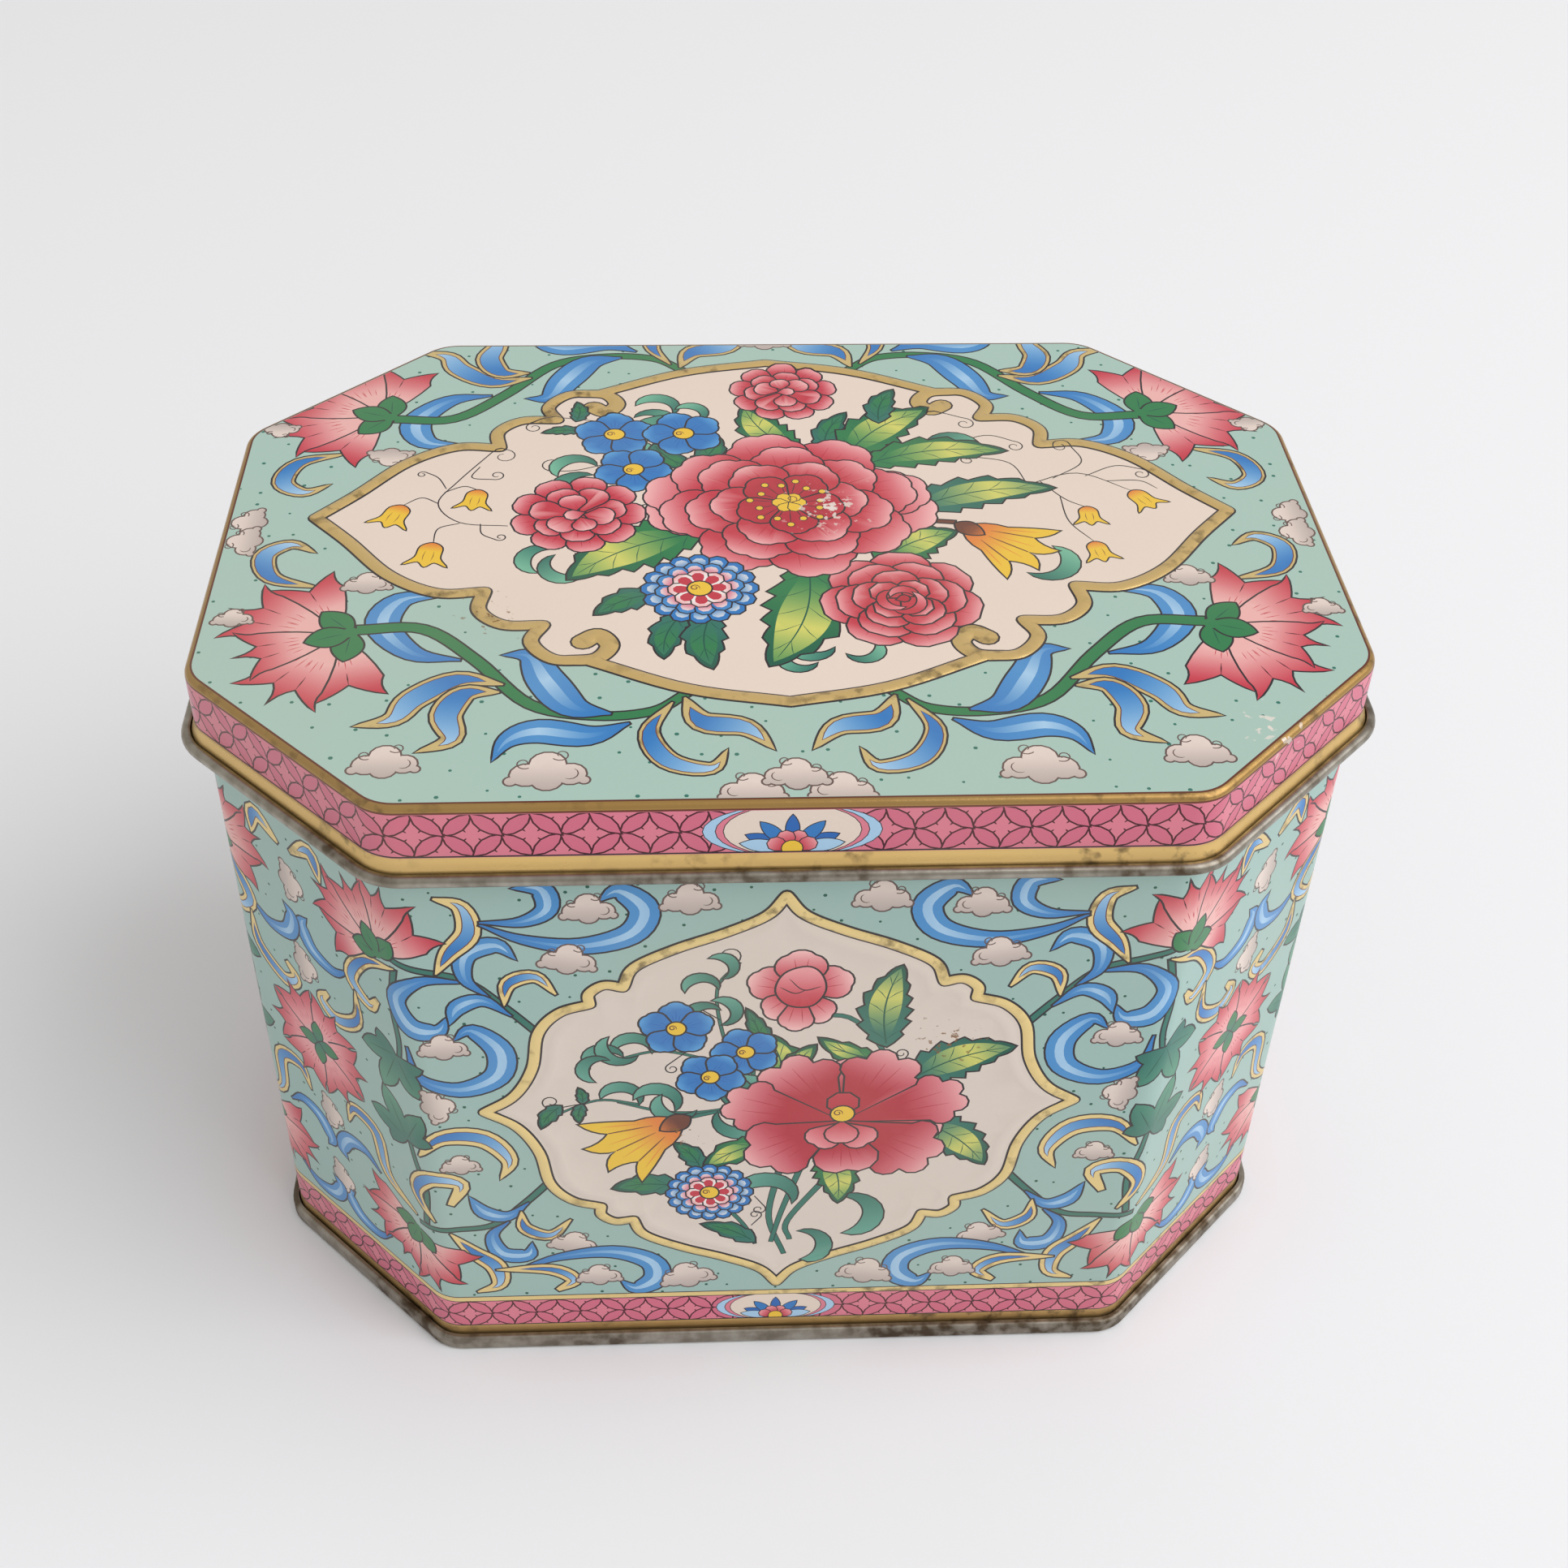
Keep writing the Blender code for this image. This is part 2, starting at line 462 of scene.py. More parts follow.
def open_peony(pen):
    """A big bloom seen from the side, with its back petals up and its lip in front."""
    tone = (CORAL_DEEP, PALE)
    for angle, length, width, lobes in (
        (-8, 0.9, 0.7, 3), (96, 0.84, 0.5, 2), (128, 1.0, 0.84, 4), (60, 1.0, 0.8, 4), (164, 1.1, 0.66, 4),
        (18, 1.14, 0.66, 4), (212, 0.98, 0.78, 3), (-34, 1.04, 0.82, 4), (-84, 0.74, 0.62, 2),
    ):
        own = pen.at(angle=angle)
        outline = petal_outline(length, width, lobes, 0.24)
        own.fill(outline, (*tone, 0.5 * length, 1.06 * length), LINE)
        for lean, reach in ((-14, 0.7), (-5, 0.84), (5, 0.82), (14, 0.68)):
            own.stroke(np.linspace(0.3, reach, 4) * length * turned(lean), 0.16, CORAL_DEEP)
    pen.at(0.08j, 1, 90).fill(petal_outline(0.3, 0.3, 1), (CORAL_DEEP, CORAL, 0, 0.3), LINE)
    for angle in (-50, 230):
        pen.at(-0.02j, 1, angle).fill(petal_outline(0.4, 0.34, 2, 0.2), (CORAL, BLUSH, 0.05, 0.4), LINE)
    pen.at(0, 1, -90).fill(petal_outline(0.3, 0.3, 2), (CORAL, BLUSH, 0.0, 0.3), LINE)
    heart_of(pen.at(0.1j), 0.1)


def bud(pen):
    """A half-open round bloom."""
    tone = (CORAL, PALE)
    for angle, length, width in ((20, 0.95, 0.8), (160, 0.95, 0.8), (90, 0.98, 0.9), (-60, 0.9, 0.7),
                                 (230, 0.85, 0.7), (-95, 1.0, 0.62)):
        own = pen.at(angle=angle)
        own.fill(petal_outline(length, width, 3), (*tone, 0.3 * length, length), LINE)
        for lean in (-9, 9):
            own.stroke(np.linspace(0.4, 0.8, 3) * length * turned(lean), 0.13, CORAL_DEEP)
    pen.fill(smooth([0.42, 0.34 + 0.4j, 0.1 + 0.58j, -0.28 + 0.42j, -0.42, -0.2 - 0.34j, 0.2 - 0.36j],
                    True), (BLUSH, CORAL, 0.5j, -0.3j), LINE)
    pen.stroke(smooth([0.36 + 0.1j, 0.05 + 0.02j, -0.2 + 0.3j]), 0.2)
    pen.stroke(smooth([-0.36 + 0.1j, -0.1 - 0.06j, 0.1 + 0.02j]), 0.2)


def lily(pen):
    """A trumpet with four pointed lips, opening along the real axis from a brown calyx."""
    upper = (0.46 + 0.3j, 1.0 + 0.62j, 0.82 + 0.3j, 1.2 + 0.24j, 0.92)
    bulges = (-0.02, -0.1, 0.1, -0.14)
    outline = [bowed(0, upper[0], -0.12)]
    for start, end, bulge in zip(upper, upper[1:], bulges):
        outline.append(bowed(start, end, bulge))
    for end, start, bulge in reversed(list(zip(upper, upper[1:], bulges))):
        outline.append(bowed(np.conj(start), np.conj(end), bulge))
    outline.append(bowed(np.conj(upper[0]), 0, -0.12))
    pen.fill(np.concatenate(outline), (ORANGE, YELLOW, 0.25, 0.7), LINE)
    for ray in (0.82 + 0.3j, 0.92, 0.82 - 0.3j):
        pen.stroke(np.linspace(1, 0.4, 4) * ray, 0.24, BROWN, 0.9, 0.3)
    for ray in (0.94 + 0.5j, 1.06 + 0.16j, 1.06 - 0.16j, 0.94 - 0.5j):
        pen.stroke(np.linspace(0.45, 0.88, 3) * ray, 0.16, ORANGE)
    pen.fill(blade_outline(0.4, 0.26, 0, 0.4) - 0.1, (BROWN, ORANGE, 0.1, 0.34), LINE)


def bell(pen):
    """A small bell flower that hangs along the real axis."""
    outline = smooth([0, 0.18 + 0.26j, 0.62 + 0.3j, 0.95 + 0.52j, 0.8 + 0.2j, 1.0, 0.8 - 0.2j,
                      0.95 - 0.52j, 0.62 - 0.3j, 0.18 - 0.26j], True, 4)
    pen.fill(outline, (ORANGE, YELLOW, 0, 0.35), LINE * 0.8)
    pen.stroke([0.35 + 0.1j, 0.55 + 0.12j, 0.75 + 0.1j], 0.12, BROWN)
    pen.stroke([0.35 - 0.1j, 0.55 - 0.12j, 0.75 - 0.1j], 0.12, BROWN)


def leaf(pen, width=0.42, bend=0.1, tone=(GREEN, LIME), teeth=5):
    """A serrated leaf, paler along its midrib, with side veins."""
    count = teeth * 4 + 1
    t = np.linspace(0, 1, count)
    path = t + 1j * bend * np.sin(math.pi * t)
    saw = 0.74 + 0.36 * ((t * teeth + 0.02) % 1)
    half = width / 2 * np.sin(math.pi * t**0.8) ** 0.8 * saw
    pen.fill(ribbon(path, half), (tone[0], GREEN_DEEP, 0.3, 1.0), LINE)
    glow = width * 0.3 * swelling(count - 2, 0.5, 0.9)
    pen.fill(ribbon(path[1:-1], glow), (tone[0], tone[1], 0.16, 0.62, 2))
    pen.stroke(path[1:-2], 0.24, GREEN_DEEP, 1.0, 0.2)
    for k in range(1, teeth):
        root = path[k * 4 - 2]
        for side in (-1, 1):
            tip = path[k * 4 + 1] + 1j * side * half[k * 4 + 1] * 0.85
            pen.stroke([root, (root + tip) / 2 + 0.01, tip], 0.15, GREEN_DEEP)


FRESH = (GREEN, LIME)
TURNING = (GREEN_SEA, LIME)
DARK_LEAF = (GREEN_SEA, GREEN)


def leaf_to(pen, place, tip, width, bend, tone, teeth):
    """A leaf from a place to its tip, bent away from the middle of the bunch."""
    stalk = tip - place
    own = pen.at(place, abs(stalk), math.degrees(math.atan2(stalk.imag, stalk.real)))
    leaf(own, width, bend if place.real > 0 else -bend, tone, teeth)


def comma(pen, tone=(GREEN_SEA, (120, 190, 160))):
    """A curled crescent leaf that starts at 0 and bends to the left."""
    path = arc(0.5j, 0.5, -90, 100, 12)
    pen.fill(ribbon(path, 0.17 * swelling(len(path), 0.6, 0.9)), (*tone, 0, 1j), LINE * 0.85)


def scroll(pen, knots, width, peak=0.62):
    """A blue scroll leaf through the knots, in millimetres, palest in its middle."""
    path = smooth(knots)
    half = width / 2 * swelling(len(path), peak, 1.15, 0.06)
    pen.fill(ribbon(path, half), (BLUE, BLUE_SOFT, path[0], path[len(path) // 2], 2), LINE)
    inner = path[2:-2]
    pen.fill(ribbon(inner, 0.34 * half[2:-2] * swelling(len(inner), peak, 0.5)),
             (BLUE, BLUE_PALE, inner[0], inner[len(inner) // 2], 2))


def gilded(pen, knots, width, share, end=0.0):
    """A leaf or scroll with a gold edge and a blue middle, its blue this share of its width."""
    path = smooth(knots)
    half = width / 2 * swelling(len(path), 0.45, 0.95, 0.06, end)
    pen.fill(ribbon(path, half), GOLD_PALE, LINE, metal=GOLD_INK)
    inner = path[len(path) // 8: -len(path) // 8]
    taper = share * width / 2 * swelling(len(inner), 0.45, 0.9)
    blue = (BLUE, BLUE_PALE, inner[len(inner) // 4], inner[-1])
    pen.fill(ribbon(inner, taper), blue, LINE * 0.5, BROWN)


def flame(pen, spread, tips, tone=(BLUSH, CORAL)):
    """A fan-shaped petal from 0 along the real axis, with curved points along its end."""
    angles = np.linspace(spread, -spread, 2 * tips + 1)
    valleys = [0.76 * turned(angle) for angle in angles[::2]]
    outline = [bowed(0.05 * turned(spread), valleys[0], -0.04)]
    for k, angle in enumerate(angles[1::2]):
        lean = angle / spread
        point = (1.04 - 0.06 * abs(lean)) * turned(angle + 12 * lean)
        outline.append(bowed(valleys[k], point, 0.12 if lean > -0.1 else -0.04))
        outline.append(bowed(point, valleys[k + 1], 0.12 if lean < 0.1 else -0.04))
    outline.append(bowed(valleys[-1], 0.05 * turned(-spread), -0.04))
    pen.fill(np.concatenate(outline), (*tone, 0.42, 0.9), LINE)
    for valley in valleys[1:-1]:
        pen.stroke(np.linspace(0.78, 1, 3) * valley, 0.2, MAROON)
        for k in (-1, 0, 1):
            pen.stroke(np.linspace(0.5, 0.7 - 0.06 * abs(k), 3) * valley * turned(7 * k), 0.13, CORAL)


def lotus(pen):
    """A fringed flower seen from the side, on a three-lobed green calyx."""
    tone = ((242, 184, 180), CORAL)
    for angle, size, spread, tips in ((82, 0.92, 24, 2), (-82, 0.92, 24, 2), (42, 1.04, 23, 3),
                                      (-42, 1.04, 23, 3), (0, 0.9, 22, 3)):
        flame(pen.at(-0.06, size, angle), spread, tips, tone)
    for angle in (66, -66, 0):
        own = pen.at(-0.16, 1, angle)
        own.fill(blade_outline(0.4, 0.26, 0, 0.5), GREEN, LINE)
        own.stroke([0.06, 0.18, 0.3], 0.18, GREEN_DEEP)
    pen.fill(circle(-0.15, 0.07, 12), GREEN)


def starflower(pen):
    """A fringed flower seen from the front, with a small green cross in the middle."""
    for k in range(6):
        flame(pen.at(angle=60 * k), 31, 3)
    pen.fill(circle(0, 0.3, 20), (236, 176, 176))
    for k in range(4):
        own = pen.at(angle=90 * k)
        own.fill(blade_outline(0.4, 0.22, 0, 0.5), (GREEN_SEA, GREEN, 0, 0.3), LINE * 0.8)


def cloud(pen):
    """A small puffy cloud of round lobes, with a curl in two of them."""
    lobes = ((-0.52 - 0.06j, 0.36), (0.5 - 0.08j, 0.38), (0.02 + 0.3j, 0.42), (0.02 - 0.26j, 0.36),
             (0.86 - 0.3j, 0.14), (-0.84 - 0.28j, 0.12))
    edge = LINE * 0.9 / abs(pen.turn)
    for centre, radius in lobes:
        pen.fill(circle(centre, radius + edge), CLOUD_INK)
    for centre, radius in lobes:
        pen.fill(circle(centre, radius), (CLOUD, CLOUD_DARK, 0.35j, -0.55j))
    for centre, size, angle, hand in ((0.44 - 0.04j, 0.2, 70, 1), (0.0 + 0.3j, 0.22, 130, -1)):
        start = centre + size * turned(angle)
        path = curled(np.array([start + 0.06 * turned(angle + 90 * hand), start]), size, 1.0, hand)
        pen.stroke(path, 0.2, CLOUD_INK, 0.8, 0.4)
    pen.stroke(arc(-0.5 - 0.04j, 0.2, 120, 300, 6), 0.18, CLOUD_INK)


def ivy_leaf(pen):
    """A dark vine leaf with five points, growing from 0."""
    points = [length * turned(angle) for angle, length in ((104, 0.5), (50, 0.86), (0, 1.08))]
    notches = [0.44 * turned(78), 0.5 * turned(24)]
    upper = [0j, points[0], notches[0], points[1], notches[1], points[2]]
    outline = [bowed(start, end, -0.13) for start, end in zip(upper, upper[1:])]
    lower = [np.conj(point) for point in reversed(upper)]
    outline += [bowed(start, end, -0.13) for start, end in zip(lower, lower[1:])]
    pen.fill(np.concatenate(outline), (GREEN_SEA, (84, 150, 122), 0.1, 0.9), LINE)
    for tip in (points[1], points[2], np.conj(points[1])):
        pen.stroke(np.linspace(0.06, 0.78, 4) * tip, 0.22, GREEN_DEEP)


def stem(pen, knots, width=0.9, tone=GREEN, line=LINE):
    path = smooth(knots, steps=6)
    pen.fill(ribbon(path, width / 2 * np.linspace(1, 0.7, len(path))), tone, line)


def tendril(pen, knots, hook, hand):
    """A thin line of ink, curled at its end where it has a hook."""
    path = smooth(knots, steps=6)
    if hook:
        path = curled(path, hook, 1.15, hand)
    pen.stroke(path, 0.22, INK, 0.8, 0.5)


def quartered(pen, middle):
    """Pens for four mirrored quarters about the middle, the lower right one first, anticlockwise."""
    ways = ((0, False), (0, True), (180, False), (180, True))
    return [pen.at(middle, 1, angle, mirror) for angle, mirror in ways]


def cartouche(quarters, scallops, field, half, gold, hook=(), step=0.0):
    """A field inside a raised gold band with ink edges, its scallops listed from tip to foot.

    The hook is a curl of the band into the field, and a step is how high the field's rim rises.
    """
    spans = [smooth(knots, steps=7) for knots in scallops]
    outline = []
    for k, own in enumerate(quarters):
        quarter = own.place(np.concatenate([span[:-1] for span in spans] + [spans[-1][-1:]]))
        outline.append(quarter if k % 2 else quarter[::-1])
    outline = np.concatenate(outline)
    sheet = quarters[0].sheet
    flat = Pen(sheet)
    flat.fill(outline, field)
    middle = quarters[0].origin
    for share in (0.91, 0.93, 0.95):
        inner = distinct(middle + share * (outline - middle))
        inner = np.append(inner, inner[0])
        sheet.folds.append(inner)
        if step and share == 0.93:
            sheet.ridges.append((inner, 0.8, 0.5, step))
    placed = [own.place(span) for own in quarters for span in spans]
    halves = [np.full(len(span), half) for span in placed]
    if hook:
        curl = smooth(hook, steps=7)
        placed += [own.place(curl) for own in quarters]
        halves += [half * np.interp(np.linspace(0, 1, len(curl)), (0, 0.6, 1), (1, 1.35, 1.6))] * 4
    for line, tone, metal in ((LINE, INK, 0.0), (0.0, gold, GOLD_INK)):
        for span, width in zip(placed, halves):
            flat.fill(ribbon(span, width + line), tone, metal=metal)
            flat.fill(circle(span[0], half + line, 12), tone, metal=metal)
            flat.fill(circle(span[-1], width[-1] + line, 12), tone, metal=metal)
    sheet.folds += [span[1:-1] for span in placed]
    sheet.ridges += [(span, half, LINE, RIDGE_HEIGHT) for span in placed]


# The layouts -----------------------------------------------------------------------------------


def sprinkled(rng, count, spread):
    """Places for small dots, evenly scattered over a box about 0."""
    rows = int(math.sqrt(count * spread.imag / spread.real)) + 1
    per_row = count // rows + 1
    places = []
    for row in range(rows):
        for column in range(per_row):
            x = (column + (row % 2) / 2 + rng.uniform(-0.3, 0.3)) / per_row * 2 - 1
            y = (row + 0.5 + rng.uniform(-0.3, 0.3)) / rows * 2 - 1
            places.append(complex(x * spread.real, y * spread.imag))
    return places


LID_MIDDLE = 6.5j
LID_SCALLOPS = (
    (66.8, 61.5 - 6.2j, 55 - 14.6j, 48 - 19j, 41.4 - 18.8j),
    (41.4 - 18.8j, 41.8 - 23.3j, 38.4 - 26.6j, 33 - 26.8j),
    (33 - 26.8j, 34.4 - 30.6j, 31.4 - 34.4j, 26.6 - 34.8j),
    (26.6 - 34.8j, 13.4 - 41.2j, -44.2j),
)
LID_HOOK = (29.8 - 34.8j, 25.6 - 34.4j, 23.8 - 31.6j, 25.4 - 29.2j, 27.4 - 30.6j)
LID_BAND = 0.95


def lid_corner(pen):
    """What grows in one quarter of the lid, outside the cartouche, drawn for the front right."""
    scroll(pen, (43.6 - 34.4j, 50 - 32.8j, 54.6 - 26.4j, 52.6 - 20.6j, 46.4 - 19.6j), 4.6, peak=0.55)
    stem(pen, (58 - 27.4j, 49 - 27.4j, 41.5 - 34.5j, 34 - 44j, 25.5 - 46.6j, 18 - 45.8j, 13.6 - 42.2j), 1.9)
    scroll(pen, (23.4 - 46.2j, 28.4 - 44.6j, 32 - 39j, 34.4 - 33.8j, 38.2 - 33.4j), 5.2, peak=0.42)
    scroll(pen, (21 - 48.2j, 26 - 50.6j, 32.6 - 49.6j, 36.4 - 51.4j, 38.2 - 55.6j), 4.6, peak=0.42)
    for knots, width in (
        ((37.6 - 39.8j, 43.5 - 38.6j, 49 - 42.6j, 51.4 - 46.8j, 56.4 - 48.2j), 4.2),
        ((38 - 41.4j, 42.4 - 41.6j, 44.6 - 46j, 43.6 - 51j, 48 - 53.6j), 4.2),
        ((13.8 - 43j, 11.6 - 48j, 6 - 49.4j, 2.4 - 54j), 4.0),
        ((15.4 - 44j, 18.4 - 50j, 16 - 55.8j, 10.6 - 57.4j, 8.4 - 53.6j), 3.2),
        ((64.4 - 17.4j, 71 - 15j, 72.8 - 9.6j, 69.4 - 6.8j, 65.6 - 9j), 3.2),
    ):
        gilded(pen, knots, width, 0.72)
    lotus(pen.at(61.0 - 28.8j, 16.0, -20))
    for place, size in ((51.5 - 55.5j, 4.6), (31 - 57.8j, 5.4), (57.6 - 16.6j, 3.6), (75 - 24.5j, 2.9)):
        cloud(pen.at(place, size))


def lid_bouquet(pen):
    """The flowers in the lid's cartouche, in the lid's own coordinates."""
    stem(pen, (26 + 4j, 20 + 5j, 12 + 8j), 0.7, BROWN)
    stem(pen, (-16 + 12j, -20 + 9j, -28 + 8j), 0.3, INK, 0)
    for knots, hook, hand in (
        ((-39 + 4j, -46 + 5j, -49.5 + 10j, -47 + 16j, -42.5 + 24j), 2.2, -1),
        ((-49.4 + 10j, -52 + 11.6j, -54.6 + 9.6j), 0, 1),
        ((-48.8 + 13j, -46 + 14.6j, -43.6 + 13.4j), 0, 1),
        ((-46 + 4.8j, -49 + 3.4j, -49.4 - 0.4j), 0, 1),
        ((-44 + 20j, -45 + 17j, -41.5 + 16.4j), 1.2, 1),
        ((-48.6 + 14j, -50 + 17j, -52 + 18.6j), 0.8, 1),
        ((-43 + 4.6j, -42.6 + 2j, -40.4 + 0.4j), 0.9, 1),
        ((-22 + 22j, -29 + 19j, -33 + 18.6j), 1.9, -1),
        ((-27 + 33j, -33 + 34j, -37 + 32.4j), 1.4, 1),
        ((38 + 14j, 46 + 17j, 53.5 + 12j), 0, 1),
        ((42 + 15.6j, 47 + 20j, 46 + 25j), 1.6, 1),
        ((40 + 14.8j, 43 + 10j, 46 + 7.6j), 0, 1),
        ((42.4 + 10.6j, 42.8 + 4j, 45.6 - 1.2j), 0, 1),
        ((47 + 16.2j, 52 + 19j, 56 + 18j), 1.4, -1),
        ((50 + 14.8j, 55 + 14.8j, 57.4 + 12.6j), 0, 1),
        ((38 + 14j, 36 + 20j, 30 + 22j), 1.2, 1),
        ((18 + 30j, 25 + 35j, 31 + 33j), 1.6, -1),
        ((26 + 24j, 33 + 28j, 38 + 26j), 1.4, -1),
    ):
        tendril(pen, knots, hook, hand)
    for place, angle, size in (
        (-54.6 + 9.6j, 250, 6.0), (-43.8 + 13.6j, 262, 5.4), (-49.4 - 0.2j, 262, 6.0),
        (53.4 + 12j, 300, 5.4), (46 + 7.8j, 270, 4.8), (45.6 - 1.4j, 280, 5.0),
    ):
        bell(pen.at(place, size, angle))
    for place, angle, size, hand in (
        (-26.5 + 20j, 110, 6.5, 1), (-27 + 17.5j, 160, 7.5, 1), (-25.5 + 23.5j, 80, 7, -1),
        (-31.6 - 2j, 150, 6.5, 1), (-32 - 3.5j, 215, 6.5, 1), (-29 - 3.2j, 300, 5.5, 1),
        (-21 + 34j, 60, 6, -1), (-15 + 35j, 60, 6.4, 1), (-11 + 33j, 40, 5, 1),
        (6.5 - 26j, 250, 6, -1), (8 - 27.5j, 300, 5, 1), (4 - 29.4j, 240, 5, -1), (24 + 26j, 60, 7.5, -1),
        (35 - 9j, 320, 8, 1), (-9.5 + 30j, 120, 12, 1),
    ):
        comma(pen.at(place, size, angle, hand < 0))
    for place, tip, width, tone in (
        (4 + 24j, -4 + 37j, 0.52, FRESH), (8 + 24j, 12 + 35j, 0.4, DARK_LEAF),
        (11 + 22j, 25 + 36j, 0.5, FRESH), (14 + 20j, 36 + 23.5j, 0.36, FRESH),
        (19 + 7j, 42 + 13j, 0.36, TURNING), (-11 + 2j, -30 - 9.6j, 0.52, FRESH),
        (4 - 6j, -2.4 - 30j, 0.5, FRESH), (-14 - 18j, -16.5 - 28j, 0.5, DARK_LEAF),
        (-10 - 18j, -10 - 30.4j, 0.5, DARK_LEAF), (-17 - 13j, -26 - 18j, 0.5, DARK_LEAF),
        (14 - 6j, 26 + 1.6j, 0.62, FRESH), (17 + 32j, 20 + 42j, 0.45, DARK_LEAF),
        (-12 + 20j, -8 + 28j, 0.5, DARK_LEAF), (-18 + 26j, -12 + 19j, 0.5, DARK_LEAF),
        (-30 + 33j, -30 + 38.6j, 0.5, DARK_LEAF), (-29 + 30j, -35 + 29.6j, 0.4, DARK_LEAF),
    ):
        leaf_to(pen, place, tip, width, 0.09, tone, 6 if abs(tip - place) > 14 else 4)
    for place, size, turn in ((-24 + 29j, 6.2, 0), (-13.4 + 29.2j, 6.2, 20), (-21 + 19j, 6.0, 40)):
        bluet(pen.at(place, size, turn))
    tufted(pen.at(2.5 + 41.5j, 8.6, 10))
    tufted(pen.at(-29 + 7j, 10.0, 200))
    rose(pen.at(16.5 - 15j, 11.6, 15))
    lily(pen.at(27 + 3j, 12, -38))
    peony(pen.at(2 + 9.6j, 19.4))
    daisy(pen.at(-11.5 - 12j, 8.2))


def lid_panel():
    sheet = Print(octagon(-LID_EDGE_RADIUS)[0], octagon(-LID_EDGE_RADIUS - 0.06)[0], TEAL)
    rng = random.Random(5)
    pen = Pen(sheet)
    for place in sprinkled(rng, 520, complex(HALF_X, HALF_Y)):
        pen.fill(circle(place, rng.uniform(0.22, 0.34), 6), GREEN_SEA)
    quarters = quartered(pen, LID_MIDDLE)
    for own in quarters:
        lid_corner(own)
    for middle, drop in ((-52.4j, 1), (58j, -1)):
        for side in (-5.6, 5.6, 0):
            cloud(pen.at(middle + side - 0.09j * drop * side * side, 4.4))
    for x in (-76.0, 76.0):
        for y in (5.4, 0.6):
            cloud(pen.at(complex(x, y), 3.7, 90))
    cartouche(quarters, LID_SCALLOPS, CREAM, LID_BAND, GOLD_BAND, LID_HOOK)
    lid_bouquet(pen)
    return sheet


# The tin's outline and its sheets' sections ------------------------------------------------------


def octagon(u):
    """The rounded octagon at distance u outside the lid's wall, and which way each point faces.

    It starts at the middle of the front and runs anticlockwise, with the middle of each flat side.
    """
    inner_x = HALF_X - CORNER_RADIUS
    inner_y = HALF_Y - CORNER_RADIUS
    leg = CHAMFER_LEG - CORNER_RADIUS * (2 - math.sqrt(2))
    front = complex(inner_x - leg, -inner_y)
    side = complex(inner_x, leg - inner_y)
    centres = [front, side, side.conjugate(), front.conjugate()]
    centres += [-centre for centre in centres]
    points = [-1j * (HALF_Y + u)]
    facing = [270.0]
    for k, centre in enumerate(centres):
        start = 270 + 45 * k
        points += list(arc(centre, CORNER_RADIUS + u, start, start + 45, CORNER_STEPS))
        facing += list(np.linspace(start, start + 45, CORNER_STEPS + 1))
        if k < 7:
            following = centres[k + 1] + (CORNER_RADIUS + u) * turned(start + 45)
            points.append((points[-1] + following) / 2)
            facing.append(start + 45.0)
    return np.array(points), np.array(facing)


def bend(centre_u, centre_z, radius, start, end):
    """An arc of a sheet's middle line, as (point, left normal) pairs of u + iz."""
    steps = max(2, math.ceil(abs(end - start) / RING_STEP))
    spokes = [turned(angle) for angle in np.linspace(start, end, steps + 1)]
    hand = 1 if end < start else -1
    return [(complex(centre_u, centre_z) + radius * spoke, hand * spoke) for spoke in spokes]


def eased(start, end):
    """An S-bend that leaves both ends running up and down, as the CAD model has it."""
    share = np.linspace(0, 1, FLARE_STEPS + 1)
    across = (1 - np.cos(math.pi * share)) / 2 * (end - start).real
    path = start.real + across + 1j * (start.imag + share * (end - start).imag)
    slope = math.pi / 2 * np.sin(math.pi * share) * (end - start).real + 1j * (end - start).imag
    return [(p, 1j * d / abs(d)) for p, d in zip(path, slope)][1:-1]


def side_of(path, hand):
    """The face of the sheet on the left (1) or the right (-1) of its middle line."""
    return [(point + hand * SHEET / 2 * normal, hand * normal) for point, normal in path]


